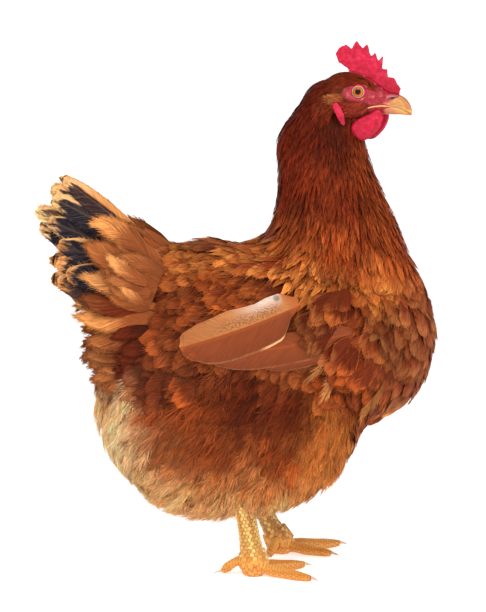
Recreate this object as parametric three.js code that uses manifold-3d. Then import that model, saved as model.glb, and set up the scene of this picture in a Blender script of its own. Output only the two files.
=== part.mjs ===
// A brown laying hen, standing still with her neck stretched up and her head turned a little to her right.
// Millimetres, +Z up, +X the way the body faces, +Y the hen's left. The feet stand on z = 0.
// The body is made of lofts between a top line and a bottom line. Wing, tail and neck feathers are thin vanes
// laid on those lofts in tiers. Every node is cut back from the one that it grows from by a small gap.
import * as THREE from "three";
import { mergeVertices } from "three/addons/utils/BufferGeometryUtils.js";
import Module from "manifold-3d";

const wasm = await Module();
wasm.setup();

// ---------------------------------------------------------------- driving dimensions

const GAP = 0.3; // between nodes that touch
const SMOOTH = 0.08; // how far merging small triangles may move a surface
const FEATHER = { thick: 0.9, edge: 0.5 }; // a vane at its shaft and at its edges
const RIGHT = -1;
const LEFT = 1;
const SIDES = [
  ["left", LEFT],
  ["right", RIGHT],
];

// Each station: top [x, z], bottom [x, z], half width, how far below the middle the widest place lies
// (0 to 0.4 of the half height), and roundness (1 an ellipse, less is squarer).
const TORSO = [
  { top: [-125, 166], bottom: [-127, 146], half: 10, low: 0, round: 1 },
  { top: [-120, 186], bottom: [-123, 121], half: 38, low: 0, round: 0.95 },
  { top: [-106, 220], bottom: [-112, 94], half: 57, low: 0.05, round: 0.93 },
  { top: [-83, 255], bottom: [-90, 68], half: 68, low: 0.1, round: 0.92 },
  { top: [-57, 277], bottom: [-64, 50], half: 74, low: 0.1, round: 0.92 },
  { top: [-26, 283], bottom: [-30, 43], half: 78, low: 0.06, round: 0.92 },
  { top: [8, 283], bottom: [8, 47], half: 80, low: 0.04, round: 0.92 },
  { top: [42, 284], bottom: [42, 58], half: 79, low: 0.02, round: 0.93 },
  { top: [76, 281], bottom: [78, 82], half: 74, low: 0, round: 0.95 },
  { top: [106, 274], bottom: [112, 115], half: 65, low: 0, round: 0.97 },
  { top: [134, 259], bottom: [143, 143], half: 51, low: 0, round: 1 },
  { top: [154, 237], bottom: [160, 173], half: 31, low: 0, round: 1 },
  { top: [164, 213], bottom: [166, 199], half: 8, low: 0, round: 1 },
];

const NECK = [
  { top: [72, 418], bottom: [99, 388], half: 10, low: 0, round: 1 },
  { top: [60, 411], bottom: [104, 373], half: 15, low: 0, round: 1 },
  { top: [47, 397], bottom: [108, 357], half: 21, low: 0, round: 1 },
  { top: [33, 376], bottom: [113, 341], half: 27.5, low: 0, round: 1 },
  { top: [28, 350], bottom: [120, 325], half: 34, low: 0, round: 1 },
  { top: [30, 323], bottom: [128, 305], half: 41, low: 0.05, round: 1 },
  { top: [26, 300], bottom: [138, 281], half: 50, low: 0.05, round: 0.98 },
  { top: [12, 284], bottom: [149, 257], half: 58, low: 0.05, round: 0.96 },
  { top: [-6, 273], bottom: [159, 233], half: 61, low: 0, round: 0.95 },
];

// The head has its own frame: x forward, y left, z up, at the top of the neck.
const HEAD_AT = new THREE.Vector3(80, 0, 400);
const HEAD_TURN = -20; // degrees about +Z
const HEAD = [
  { top: [-11, 9], bottom: [-10, -6], half: 6, low: 0, round: 1 },
  { top: [-7, 17], bottom: [-8, -16], half: 12, low: 0, round: 1 },
  { top: [2, 22.5], bottom: [2, -19], half: 15.5, low: 0, round: 0.98 },
  { top: [12, 24], bottom: [12, -18], half: 15.5, low: 0, round: 0.96 },
  { top: [22, 21.5], bottom: [22, -15], half: 14.2, low: 0, round: 0.95 },
  { top: [32, 15.5], bottom: [32, -12.5], half: 11, low: 0, round: 0.95 },
  { top: [41, 8.5], bottom: [41, -11.5], half: 8.2, low: 0, round: 0.95 },
  { top: [46, 5.5], bottom: [45, -11], half: 6, low: 0, round: 1 },
];
const BEAK_UPPER = [
  { top: [38, 6.5], bottom: [36, -5.6], half: 7.4, low: 0.3, round: 0.85 },
  { top: [46, 6.2], bottom: [44, -5.8], half: 7, low: 0.35, round: 0.85 },
  { top: [53, 4.6], bottom: [52, -6.8], half: 5.6, low: 0.35, round: 0.85 },
  { top: [59, 1.2], bottom: [58, -8.8], half: 4.1, low: 0.35, round: 0.9 },
  { top: [63, -4], bottom: [62, -11], half: 2.4, low: 0.2, round: 1 },
  { top: [64.8, -10], bottom: [64, -13], half: 0.8, low: 0, round: 1 },
];
const BEAK_LOWER = [
  { top: [34, -4.6], bottom: [35, -12.2], half: 6.4, low: -0.2, round: 0.9 },
  { top: [44, -4.8], bottom: [44, -12.4], half: 6, low: -0.2, round: 0.9 },
  { top: [52, -5.8], bottom: [51, -12.4], half: 4.6, low: -0.2, round: 0.9 },
  { top: [59, -9], bottom: [58.5, -12.2], half: 2, low: 0, round: 1 },
];
const MOUTH = { x: 28.5, z: -6.4, out: 11.6, long: 20, deep: 3, high: 0.7, face: 20 };
const NOSTRIL = { x: 45.5, z: 2.0, out: 6.3, long: 2.6, high: 0.9, deep: 1.6, tilt: -25 };
const EYE = { x: 20.6, z: 6.8, ball: 7.4, bulge: 15.6, opening: 5.6, lid: 1.1, ringOut: 13.5, face: 10 };

// Comb outline in the head's frame: [x, z] of its points and the notches between them, back to front.
const COMB_THICK = { base: 5.2, edge: 2.2 };
const COMB_POINTS = [
  [-1, 39],
  [8, 46.5],
  [16.5, 49.5],
  [26, 46.5],
  [32.8, 39.5],
  [39.6, 37.2],
  [43, 25.6],
  [49, 18.5],
  [54.6, 9.5],
];
const COMB_NOTCHES = [
  [2.6, 43.6],
  [12.6, 42.2],
  [22, 43.2],
  [29, 36.4],
  [35.4, 32],
  [38.6, 26],
  [43.6, 19],
  [51.8, 13],
];
const COMB_BASE = [
  [53, 2],
  [40, 3],
  [27, 14],
  [12, 20],
  [10, 25.6],
  [1.5, 31.5],
];

const WATTLE = { x: 28, z: -22, long: 13, wide: 12.5, thick: 3.6, out: 7.2, splay: 12 };
const EARLOBE = { x: 4.5, z: -13.5, long: 13, wide: 4.8, thick: 2.2, out: 16.4, lean: 16 };
const EAR_TUFT = { x: 11, z: 3, count: 4, long: 16, wide: 6, fan: 15, out: 14.6 };

const TAIL_CORE = [
  { top: [-40, 278], bottom: [-52, 170], half: 44, low: 0, round: 1 },
  { top: [-66, 282], bottom: [-78, 176], half: 42, low: 0, round: 1 },
  { top: [-88, 290], bottom: [-104, 188], half: 34, low: 0, round: 1 },
  { top: [-106, 301], bottom: [-124, 208], half: 22, low: 0, round: 1 },
  { top: [-118, 306], bottom: [-134, 232], half: 11, low: 0, round: 1 },
];
// Tail feathers of one side, top one first, each drawn from the side between its root and its tip.
// They stand out from the middle by out at the root and tipOut at the tip, top one and bottom one.
const TAIL = {
  roots: [[-78, 270], [-90, 214]],
  tips: [[-153, 336], [-163, 326], [-174, 308], [-170, 290], [-162, 266], [-160, 247], [-148, 230]],
  bow: 5,
  wide: 22,
  out: [3, 34],
  tipOut: [5, 30],
};
const TAIL_COVERTS = [
  {
    roots: [[-62, 272], [-84, 216]],
    tips: [[-116, 308], [-124, 288], [-124, 264], [-122, 240], [-118, 220]],
    wide: 21,
    out: [7, 44],
    tipOut: [9, 42],
    bow: 4,
  },
  {
    roots: [[-92, 220], [-98, 182]],
    tips: [[-141, 209], [-137, 189], [-130, 167], [-122, 147]],
    wide: 21,
    out: [16, 46],
    tipOut: [14, 44],
    bow: 4,
  },
];

// The folded wing lies on the flank. Its feathers are drawn from the side, as [x, z] roots with an angle.
const WING_BASE = { at: [20, 228], long: 74, high: 42, thick: 9, tilt: 7 };
const WING_TIERS = [
  // secondaries
  { count: 4, root: [30, 264], step: [2, -9], angle: 177, fan: 5, long: 80, grow: 3, wide: 23, lift: 4.5 },
  // primaries
  { count: 4, root: [36, 234], step: [1, -12], angle: 198, fan: -5, long: 101, grow: -5, wide: 25, lift: 7 },
  // greater coverts
  { count: 4, root: [62, 260], step: [2, -16], angle: 180, fan: 5, long: 46, grow: 0, wide: 25, lift: 10 },
  // lesser coverts
  { count: 4, root: [88, 252], step: [0, -16], angle: 184, fan: 5, long: 40, grow: 0, wide: 25, lift: 9 },
];

const NECK_PART = 0.5; // share along the neck where its upper and lower lengths part, above the hackle

const HACKLE = {
  wide: 30,
  deep: 5,
  tilt: 0.7,
  tiers: [
    { count: 8, from: 0.52, long: 60, lift: 1.4 },
    { count: 10, from: 0.74, long: 48, lift: 1.0 },
  ],
};

// Legs: the middle of each thigh, hock and foot, [x, y, z], the way the foot points, and how much longer than
// usual its inner, middle and outer toes are.
const LEGS = {
  left: {
    thigh: [
      { at: [52, 38, 176], fore: 26, side: 20 },
      { at: [52, 44, 148], fore: 46, side: 34 },
      { at: [48, 50, 114], fore: 47, side: 33 },
      { at: [37, 52, 88], fore: 34, side: 26 },
      { at: [23, 50, 68], fore: 20, side: 17 },
      { at: [14, 49, 52], fore: 9.5, side: 9 },
    ],
    hock: [9, 49, 66],
    foot: [40.5, 47],
    toes: 19,
    longer: [6, 6, 0],
  },
  right: {
    thigh: [
      { at: [50, -38, 178], fore: 26, side: 20 },
      { at: [49, -45, 150], fore: 47, side: 36 },
      { at: [41, -52, 118], fore: 47, side: 35 },
      { at: [28, -54, 94], fore: 38, side: 28 },
      { at: [12, -50, 74], fore: 23, side: 19 },
      { at: [0, -46, 57], fore: 10, side: 9.5 },
    ],
    hock: [-6.5, -43, 68],
    foot: [4.5, -36],
    toes: 25,
    longer: [0, -2, 8],
  },
};
const SHANK = { fore: 8, side: 6.2, high: [66, 15], scutes: 9, proud: 0.9, lip: 0.5, ankle: 3 };
const FOOT_PAD = { radius: 12.5, high: 12, drop: 3 };
const FLAT = 1.2; // how much of each toe's round underside is cut off level with the floor
// Toes of a left foot: angle from straight ahead, length to the claw, radius at root and tip.
const TOES = [
  { name: "inner", angle: -46, long: 40, root: 5.4, tip: 4.2, joints: 2, claw: 13 },
  { name: "middle", angle: 0, long: 53, root: 5.8, tip: 4.4, joints: 3, claw: 13 },
  { name: "outer", angle: 60, long: 45, root: 5.4, tip: 4.1, joints: 4, claw: 12 },
];
const HALLUX = { name: "hind", angle: -140, long: 27, root: 4.6, tip: 3.9, from: 15, arch: 3, claw: 12 };

// ---------------------------------------------------------------- solids

// A manifold-3d solid from a closed three.js geometry whose every face is moved out by grow.
function solidOf(geometry, grow = 0) {
  const bare = new THREE.BufferGeometry();
  bare.setAttribute("position", geometry.getAttribute("position"));
  if (geometry.index) bare.setIndex(geometry.index);
  const merged = mergeVertices(bare, 1e-4);
  const points = new Float32Array(merged.getAttribute("position").array);
  const triVerts = new Uint32Array(merged.index.array);
  if (grow) moveFaces(points, triVerts, grow);
  return new wasm.Manifold(new wasm.Mesh({ numProp: 3, vertProperties: points, triVerts }));
}

// Moves each vertex to where all the faces round it meet once they have moved out by grow.
function moveFaces(points, triVerts, grow) {
  const count = points.length / 3;
  const planes = Array.from({ length: count }, () => new THREE.Matrix3().identity().multiplyScalar(0.02));
  const pulls = Array.from({ length: count }, () => new THREE.Vector3());
  const corner = (i) => new THREE.Vector3().fromArray(points, 3 * i);
  for (let t = 0; t < triVerts.length; t += 3) {
    const [a, b, c] = triVerts.subarray(t, t + 3);
    const n = corner(b).sub(corner(a)).cross(corner(c).sub(corner(a))).normalize();
    const { x, y, z } = n;
    const plane = [x * x, x * y, x * z, x * y, y * y, y * z, x * z, y * z, z * z];
    for (const i of [a, b, c]) {
      plane.forEach((value, k) => (planes[i].elements[k] += value));
      pulls[i].addScaledVector(n, grow);
    }
  }
  pulls.forEach((pull, i) => {
    const move = pull.applyMatrix3(planes[i].invert()).clampLength(0, 2.5 * grow);
    points.set(corner(i).add(move).toArray(), 3 * i);
  });
}

// The union of several closed geometries, each grown first.
function joined(geometries, grow = 0) {
  return geometries.map((g) => solidOf(g, grow)).reduce((a, b) => a.add(b));
}

function largest(solid) {
  return solid.simplify(SMOOTH).decompose().reduce((a, b) => (a.volume() > b.volume() ? a : b));
}

function geometryOf(solid) {
  const mesh = solid.getMesh();
  const at = new Float32Array(mesh.numVert * 3);
  for (let i = 0; i < mesh.numVert; i++)
    at.set(mesh.vertProperties.subarray(i * mesh.numProp, i * mesh.numProp + 3), i * 3);
  const made = new THREE.BufferGeometry();
  made.setAttribute("position", new THREE.BufferAttribute(at, 3));
  made.setIndex(new THREE.BufferAttribute(new Uint32Array(mesh.triVerts), 1));
  return made;
}

// A closed geometry from points and triangles, turned so that its faces point out.
function closedGeometry(points, triangles) {
  let volume = 0;
  for (const [a, b, c] of triangles)
    volume += points[a].dot(points[b].clone().cross(points[c]));
  const made = new THREE.BufferGeometry().setFromPoints(points);
  made.setIndex((volume < 0 ? triangles.map(([a, b, c]) => [a, c, b]) : triangles).flat());
  return made;
}

// A closed tube through rings of points, with a fan on each end.
function tubeOf(rings) {
  const sides = rings[0].length;
  const points = rings.flat();
  const triangles = [];
  for (let i = 0; i + 1 < rings.length; i++)
    for (let j = 0; j < sides; j++) {
      const a = i * sides + j;
      const b = i * sides + ((j + 1) % sides);
      triangles.push([a, b, b + sides], [a, b + sides, a + sides]);
    }
  const middle = (ring) => ring.reduce((sum, p) => sum.add(p), new THREE.Vector3()).divideScalar(sides);
  const last = (rings.length - 1) * sides;
  const head = points.push(middle(rings[0])) - 1;
  const tail = points.push(middle(rings.at(-1))) - 1;
  for (let j = 0; j < sides; j++) {
    const next = (j + 1) % sides;
    triangles.push([next, j, head], [last + j, last + next, tail]);
  }
  return closedGeometry(points, triangles);
}

const signedPower = (value, power) => Math.sign(value) * Math.abs(value) ** power;

// A loft between the top and bottom points of its stations, smooth from one station to the next.
class Loft {
  constructor(stations) {
    const curve = (pick) => new THREE.CatmullRomCurve3(stations.map(pick), false, "catmullrom", 0.5);
    this.top = curve((s) => new THREE.Vector3(s.top[0], 0, s.top[1]));
    this.bottom = curve((s) => new THREE.Vector3(s.bottom[0], 0, s.bottom[1]));
    this.shape = curve((s) => new THREE.Vector3(s.half, s.low, s.round));
  }

  // The point at share s along the loft and at an angle round it: 0 on top, positive towards +Y.
  point(s, angle) {
    const t = THREE.MathUtils.clamp(s, 0, 1);
    const top = this.top.getPoint(t);
    const bottom = this.bottom.getPoint(t);
    const { x: half, y: low, z: round } = this.shape.getPoint(t);
    const along = signedPower(Math.cos(angle), round);
    const up = along - low * (1 - along * along);
    const at = top.clone().lerp(bottom, (1 - up) / 2);
    at.y = half * signedPower(Math.sin(angle), round);
    if (s > 1) at.addScaledVector(this.point(1, angle).sub(this.point(0.98, angle)), (s - 1) / 0.02);
    return at;
  }

  normal(s, angle) {
    const step = 0.01;
    const along = this.point(s + step, angle).sub(this.point(s - step, angle));
    const round = this.point(s, angle + step).sub(this.point(s, angle - step));
    const n = round.cross(along).normalize();
    const middle = this.point(s, 0).lerp(this.point(s, Math.PI), 0.5);
    return n.dot(this.point(s, angle).sub(middle)) < 0 ? n.negate() : n;
  }

  geometry(ringCount, sides) {
    const rings = [];
    for (let i = 0; i < ringCount; i++) {
      const s = i / (ringCount - 1);
      rings.push(Array.from({ length: sides }, (_, j) => this.point(s, (2 * Math.PI * j) / sides)));
    }
    return tubeOf(rings);
  }
}

// A tube of elliptical sections along a line of centres, each with its own half sizes across and up.
function limb(centres, halves, sides, up = new THREE.Vector3(0, 0, 1)) {
  const rings = centres.map((centre, i) => {
    const before = centres[Math.max(i - 1, 0)];
    const after = centres[Math.min(i + 1, centres.length - 1)];
    const along = after.clone().sub(before).normalize();
    const across = up.clone().cross(along).normalize();
    const over = along.clone().cross(across);
    return Array.from({ length: sides }, (_, j) => {
      const angle = (2 * Math.PI * j) / sides;
      return centre
        .clone()
        .addScaledVector(across, halves[i][0] * Math.cos(angle))
        .addScaledVector(over, halves[i][1] * Math.sin(angle));
    });
  });
  return tubeOf(rings);
}

function ellipsoid(at, radii, turn = [0, 0, 0], wide = 20, high = 12) {
  const made = new THREE.SphereGeometry(1, wide, high);
  made.scale(...radii);
  made.applyMatrix4(new THREE.Matrix4().makeRotationFromEuler(new THREE.Euler(...turn)));
  return made.translate(...at);
}

// ---------------------------------------------------------------- feathers

const BLADE = [0.5, 0.96, 0.98, 0.3]; // half width along a vane, root to tip
const LANCE = [0.7, 1, 0.74, 0.1]; // the same along a neck feather

// A vane from rows of three places across it (left edge, shaft, right edge), with the way out at each.
// Both faces are split into triangles alike. A row may reach deep into what the vane lies on.
function vane(rows) {
  const points = [];
  rows.forEach(({ across, out, deep = 0 }, i) => {
    const thin = i === rows.length - 1 ? 0.6 : 1;
    const half = [FEATHER.edge / 2, FEATHER.thick / 2, FEATHER.edge / 2].map((h) => h * thin);
    across.forEach((p, j) => points.push(p.clone().addScaledVector(out, half[j])));
    across.forEach((p, j) => points.push(p.clone().addScaledVector(out, -Math.max(half[j], deep))));
  });
  const triangles = [];
  const at = (i, j, under) => 6 * i + j + (under ? 3 : 0);
  const quad = (a, b, c, d) => triangles.push([a, b, c], [a, c, d]);
  for (let i = 0; i + 1 < rows.length; i++) {
    for (const j of [0, 1]) {
      quad(at(i, j), at(i, j + 1), at(i + 1, j + 1), at(i + 1, j));
      const [a, b, c, d] = [at(i, j, true), at(i, j + 1, true), at(i + 1, j + 1, true), at(i + 1, j, true)];
      triangles.push([a, c, b], [a, d, c]);
    }
    quad(at(i, 0, true), at(i, 0), at(i + 1, 0), at(i + 1, 0, true));
    quad(at(i, 2), at(i, 2, true), at(i + 1, 2, true), at(i + 1, 2));
  }
  const end = (i, flip) => {
    for (const j of [0, 1]) {
      const ring = [at(i, j), at(i, j + 1), at(i, j + 1, true), at(i, j, true)];
      quad(...(flip ? ring.reverse() : ring));
    }
  };
  end(0, true);
  end(rows.length - 1, false);
  return closedGeometry(points, triangles);
}

// Where a line from outside first meets any of these closed geometries, or null.
class Surface {
  constructor(geometries) {
    const look = new THREE.MeshBasicMaterial({ side: THREE.DoubleSide });
    this.meshes = geometries.map((g) => new THREE.Mesh(g, look));
    this.caster = new THREE.Raycaster();
  }

  hit(point, out, reach = 120) {
    const from = point.clone().addScaledVector(out, reach);
    this.caster.set(from, out.clone().negate());
    const found = this.caster.intersectObjects(this.meshes, false);
    return found.length ? found[0].point : null;
  }
}

const degrees = THREE.MathUtils.degToRad;
const mix = (range, t) => range[0] + (range[1] - range[0]) * t;

// ---------------------------------------------------------------- torso, neck, thighs

const torsoLoft = new Loft(TORSO);
const neckLoft = new Loft(NECK);
const torso = torsoLoft.geometry(18, 22);
const neckCore = neckLoft.geometry(12, 18);

function thighOf(leg) {
  const centres = new THREE.CatmullRomCurve3(leg.thigh.map((s) => new THREE.Vector3(...s.at)));
  const sizes = new THREE.CatmullRomCurve3(leg.thigh.map((s) => new THREE.Vector3(s.side, s.fore, 0)));
  const steps = [...Array(11).keys()].map((i) => i / 10);
  const halves = steps.map((t) => sizes.getPoint(t)).map(({ x, y }) => [x, y]);
  return limb(steps.map((t) => centres.getPoint(t)), halves, 18, new THREE.Vector3(1, 0, 0));
}
const thighs = { left: thighOf(LEGS.left), right: thighOf(LEGS.right) };

// The hackle: rows of long narrow feathers round the neck, whose tips lie on the shoulders.
function hackle() {
  const body = new Surface([torso, neckCore]);
  const neckLong = neckLoft.point(0, 0).distanceTo(neckLoft.point(1, 0));
  const feathers = [];
  HACKLE.tiers.forEach((tier, row) => {
    for (let i = 0; i < tier.count; i++) {
      const angle = (2 * Math.PI * (i + 0.5 * row)) / tier.count;
      const wobble = 0.12 * Math.sin(i * 5.1 + row * 2);
      const rows = LANCE.map((share, k) => {
        const t = k / (LANCE.length - 1);
        const s = tier.from + (tier.long * (1 + wobble) * t) / neckLong;
        const out = neckLoft.normal(Math.min(s, 1), angle);
        const middle = neckLoft.point(s, angle);
        const onBody = body.hit(middle, out) ?? middle;
        const lift = k === 0 ? -1.5 : tier.lift + 0.4 * k;
        const centre = onBody.clone().addScaledVector(out, lift);
        const along = neckLoft.point(s + 0.02, angle).sub(neckLoft.point(s - 0.02, angle));
        const side = out.clone().cross(along).normalize();
        const half = (share * HACKLE.wide) / 2;
        const across = [-1, 0, 1].map((j) => {
          const high = j === 0 ? 0 : HACKLE.tilt * (j * share - 1);
          return centre.clone().addScaledVector(side, j * half).addScaledVector(out, high);
        });
        return { across, out, deep: HACKLE.deep };
      });
      feathers.push(vane(rows));
    }
  });
  return feathers;
}

// The two lengths of the neck, with a thin cut across it between them: lower first, then upper.
function neckLengths(neck) {
  const middle = (s) => neckLoft.point(s, 0).lerp(neckLoft.point(s, Math.PI), 0.5);
  const along = middle(NECK_PART + 0.02).sub(middle(NECK_PART - 0.02)).normalize();
  const slab = new THREE.BoxGeometry(200, 200, GAP);
  slab.applyQuaternion(new THREE.Quaternion().setFromUnitVectors(new THREE.Vector3(0, 0, 1), along));
  slab.translate(...middle(NECK_PART));
  const pieces = neck.subtract(solidOf(slab)).decompose();
  return pieces.sort((a, b) => b.volume() - a.volume()).slice(0, 2);
}

// ---------------------------------------------------------------- wings

// A feather drawn from the side as a root, an angle and a length, and laid on the flank below it.
function flankFeather(flank, side, { root, angle, long, wide, lift, tilt = 0.8, bow = 4 }) {
  const way = new THREE.Vector3(Math.cos(degrees(angle)), 0, Math.sin(degrees(angle)));
  const cross = new THREE.Vector3(-way.z, 0, way.x);
  const out = new THREE.Vector3(0, side, 0);
  const rows = BLADE.map((share, k) => {
    const t = k / (BLADE.length - 1);
    const middle = new THREE.Vector3(root[0], 0, root[1])
      .addScaledVector(way, long * t)
      .addScaledVector(cross, bow * Math.sin(Math.PI * t));
    const across = [-1, 0, 1].map((j) => {
      const p = middle.clone().addScaledVector(cross, (j * share * wide) / 2);
      const onBody = flank.hit(p, out) ?? flank.hit(middle, out) ?? p;
      const high = k === 0 ? -1 : lift * (1 - 0.35 * t) + j * tilt;
      return p.setY(onBody.y + side * (high + (j === 0 ? 0.5 : 0)));
    });
    return { across, out, deep: 6 * (1 - t) };
  });
  return vane(rows);
}

// The arm under the coverts: a low pillow on the flank.
function wingBase(flank, side) {
  const { at, long, high, thick, tilt } = WING_BASE;
  const turn = degrees(tilt);
  const [rings, spokes] = [4, 16];
  const place = (radius, angle) => {
    const u = radius * long * Math.cos(angle);
    const v = radius * high * Math.sin(angle);
    return [at[0] + u * Math.cos(turn) - v * Math.sin(turn), at[1] + u * Math.sin(turn) + v * Math.cos(turn)];
  };
  const out = new THREE.Vector3(0, side, 0);
  const sheet = (lift) => {
    const ringsOf = [];
    for (let i = 1; i <= rings; i++)
      ringsOf.push(
        Array.from({ length: spokes }, (_, j) => {
          const [x, z] = place(i / rings, (2 * Math.PI * j) / spokes);
          const p = new THREE.Vector3(x, 0, z);
          const y = (flank.hit(p, out) ?? p).y;
          return p.setY(y + side * lift(i / rings));
        }),
      );
    return ringsOf;
  };
  const outer = sheet((r) => thick * Math.sqrt(Math.max(0, 1 - r * r)) - 1);
  const inner = sheet(() => -6);
  return tubeOf([...outer, ...inner.reverse()]);
}

function wingOf(side, thigh) {
  const flank = new Surface([torso, thigh]);
  const feathers = [wingBase(flank, side)];
  for (const tier of WING_TIERS)
    for (let i = 0; i < tier.count; i++)
      feathers.push(
        flankFeather(flank, side, {
          root: [tier.root[0] + tier.step[0] * i, tier.root[1] + tier.step[1] * i],
          angle: tier.angle + tier.fan * i,
          long: (tier.long + tier.grow * i) * (1 + 0.05 * Math.sin(3.7 * i + side)),
          wide: tier.wide,
          lift: tier.lift - 0.35 * i,
        }),
      );
  return feathers;
}

// ---------------------------------------------------------------- tail

// One tail feather of a side: it stands on edge, leaning out at the foot of the tail's tent.
function tailFeather(side, { root, tip, wide, out, tipOut, bow }) {
  const from = new THREE.Vector3(root[0], side * out, root[1]);
  const to = new THREE.Vector3(tip[0], side * tipOut, tip[1]);
  const way = to.clone().sub(from).normalize();
  const lean = degrees(20);
  const face = new THREE.Vector3(0, side * Math.cos(lean), Math.sin(lean));
  face.addScaledVector(way, -face.dot(way)).normalize();
  const cross = face.clone().cross(way).normalize();
  const rows = BLADE.map((share, k) => {
    const t = k / (BLADE.length - 1);
    const centre = from.clone().lerp(to, t).addScaledVector(cross, side * bow * Math.sin(Math.PI * t));
    const across = [-1, 0, 1].map((j) =>
      centre
        .clone()
        .addScaledVector(cross, (j * share * wide) / 2)
        .addScaledVector(face, j === 0 ? 0 : -1.4 * share),
    );
    return { across, out: face };
  });
  return vane(rows);
}

function tailFan({ roots, tips, wide, out, tipOut, bow }) {
  const feathers = [];
  for (const [, side] of SIDES)
    tips.forEach((tip, i) => {
      const t = i / (tips.length - 1);
      const root = [0, 1].map((k) => mix([roots[0][k], roots[1][k]], t));
      const drift = 1.5 * Math.sin(4.3 * i + side);
      const place = { out: mix(out, t), tipOut: mix(tipOut, t) };
      feathers.push(tailFeather(side, { root, tip: [tip[0] + drift, tip[1]], wide, bow, ...place }));
    });
  return feathers;
}

// ---------------------------------------------------------------- head

const toBody = new THREE.Matrix4()
  .makeTranslation(HEAD_AT.x, HEAD_AT.y, HEAD_AT.z)
  .multiply(new THREE.Matrix4().makeRotationZ(degrees(HEAD_TURN)));
const onHead = (geometry) => geometry.applyMatrix4(toBody);

function comb() {
  const outline = [];
  COMB_POINTS.forEach((point, i) => {
    outline.push(point);
    if (COMB_NOTCHES[i]) outline.push(COMB_NOTCHES[i]);
  });
  outline.push(...COMB_BASE);
  const shape = new THREE.Shape(outline.map(([x, z]) => new THREE.Vector2(x, z)));
  const bevel = (COMB_THICK.base - COMB_THICK.edge) / 2;
  const blade = new THREE.ExtrudeGeometry(shape, {
    depth: COMB_THICK.edge,
    bevelEnabled: true,
    bevelThickness: bevel,
    bevelSize: 1.1,
    bevelOffset: -1.1,
    bevelSegments: 2,
  });
  blade.translate(0, 0, -COMB_THICK.edge / 2);
  return onHead(blade.rotateX(Math.PI / 2));
}

function wattle(side) {
  const { x, z, long, wide, thick, out, splay } = WATTLE;
  const lobe = ellipsoid([0, 0, 0], [wide, thick / 2, long], [0, 0, 0], 14, 8);
  const at = lobe.getAttribute("position");
  for (let i = 0; i < at.count; i++) {
    const high = at.getZ(i) / long; // narrower and thicker towards its root
    const narrow = 1 - 0.28 * Math.max(0, high);
    at.setX(i, at.getX(i) * narrow + 5 * Math.max(0, high) ** 2);
    at.setY(i, at.getY(i) * (1 + 0.5 * Math.max(0, high)));
  }
  lobe.rotateX(side * degrees(splay));
  return onHead(lobe.translate(x, side * out, z));
}

function earlobe(side) {
  const { x, z, long, wide, thick, out, lean } = EARLOBE;
  const lobe = ellipsoid([0, 0, 0], [wide, thick, long], [0, 0, 0], 10, 7);
  return onHead(lobe.rotateY(-degrees(lean)).translate(x, side * out, z));
}

// The stiff little feathers that cover the ear.
function earTuft(side, skull) {
  const { x, z, count, long, wide, fan } = EAR_TUFT;
  const out = new THREE.Vector3(0, side, 0);
  const feathers = [];
  for (let i = 0; i < count; i++) {
    const angle = degrees(178 + fan * (i - (count - 1) / 2));
    const way = new THREE.Vector3(Math.cos(angle), 0, Math.sin(angle));
    const cross = new THREE.Vector3(-way.z, 0, way.x);
    const rows = LANCE.map((share, k) => {
      const t = k / (LANCE.length - 1);
      const middle = new THREE.Vector3(x, 0, z - 1.2 * (i - 2)).addScaledVector(way, long * t);
      const onSkull = skull.hit(middle, out) ?? middle.clone().setY(side * 8);
      const across = [-1, 0, 1].map((j) =>
        middle
          .clone()
          .addScaledVector(cross, (j * share * wide) / 2)
          .setY(onSkull.y + side * (k === 0 ? -0.8 : 0.7 + 0.25 * i * t - (j === 0 ? 0 : 0.3))),
      );
      return { across, out, deep: 2 * (1 - t) };
    });
    feathers.push(vane(rows));
  }
  return feathers;
}

function eyeBall(side) {
  const ball = new THREE.SphereGeometry(EYE.ball, 14, 9);
  return onHead(ball.translate(EYE.x, side * (EYE.bulge - EYE.ball), EYE.z));
}

// The ring of bare lid round the eye, a little longer than high.
function lids(side) {
  const ring = new THREE.TorusGeometry(EYE.opening + EYE.lid, EYE.lid * 1.25, 5, 16);
  ring.scale(1.06, 0.96, 1.3).rotateX(Math.PI / 2).rotateZ(-side * degrees(EYE.face));
  return ring.translate(EYE.x, side * EYE.ringOut, EYE.z);
}

function headSolid() {
  const skull = new Loft(HEAD).geometry(11, 18);
  const ground = new Surface([skull]);
  const parts = [skull];
  for (const [, side] of SIDES) parts.push(lids(side), ...earTuft(side, ground));
  let made = joined(parts);
  for (const [, side] of SIDES) {
    const slit = new THREE.BoxGeometry(MOUTH.long, MOUTH.deep, MOUTH.high).translate(MOUTH.long / 2, 0, 0);
    slit.rotateZ(-side * degrees(MOUTH.face)).translate(MOUTH.x, side * MOUTH.out, MOUTH.z);
    made = made.subtract(solidOf(slit));
  }
  return solidOf(onHead(geometryOf(largest(made))));
}

function beakUpper() {
  const beak = solidOf(new Loft(BEAK_UPPER).geometry(10, 14));
  const { x, z, out, long, high, deep, tilt } = NOSTRIL;
  const pits = SIDES.map(([, side]) =>
    ellipsoid([x, side * out, z], [long, deep, high], [0, -degrees(tilt), 0], 10, 6),
  );
  return solidOf(onHead(geometryOf(beak.subtract(joined(pits)))));
}

// ---------------------------------------------------------------- legs

// The bowed line of a toe, from inside the foot's pad to where its claw starts.
function toeLine(foot, angle, { long, root, tip }, from = 4) {
  const way = new THREE.Vector3(Math.cos(angle), Math.sin(angle), 0);
  const heights = [root + 2.2, root + 0.6, root - FLAT + 0.6, tip - FLAT + 0.5, tip - FLAT];
  return heights.map((z, k) => {
    const t = k / (heights.length - 1);
    return new THREE.Vector3(foot[0], foot[1], z).addScaledVector(way, from + (long - from) * t);
  });
}

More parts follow.
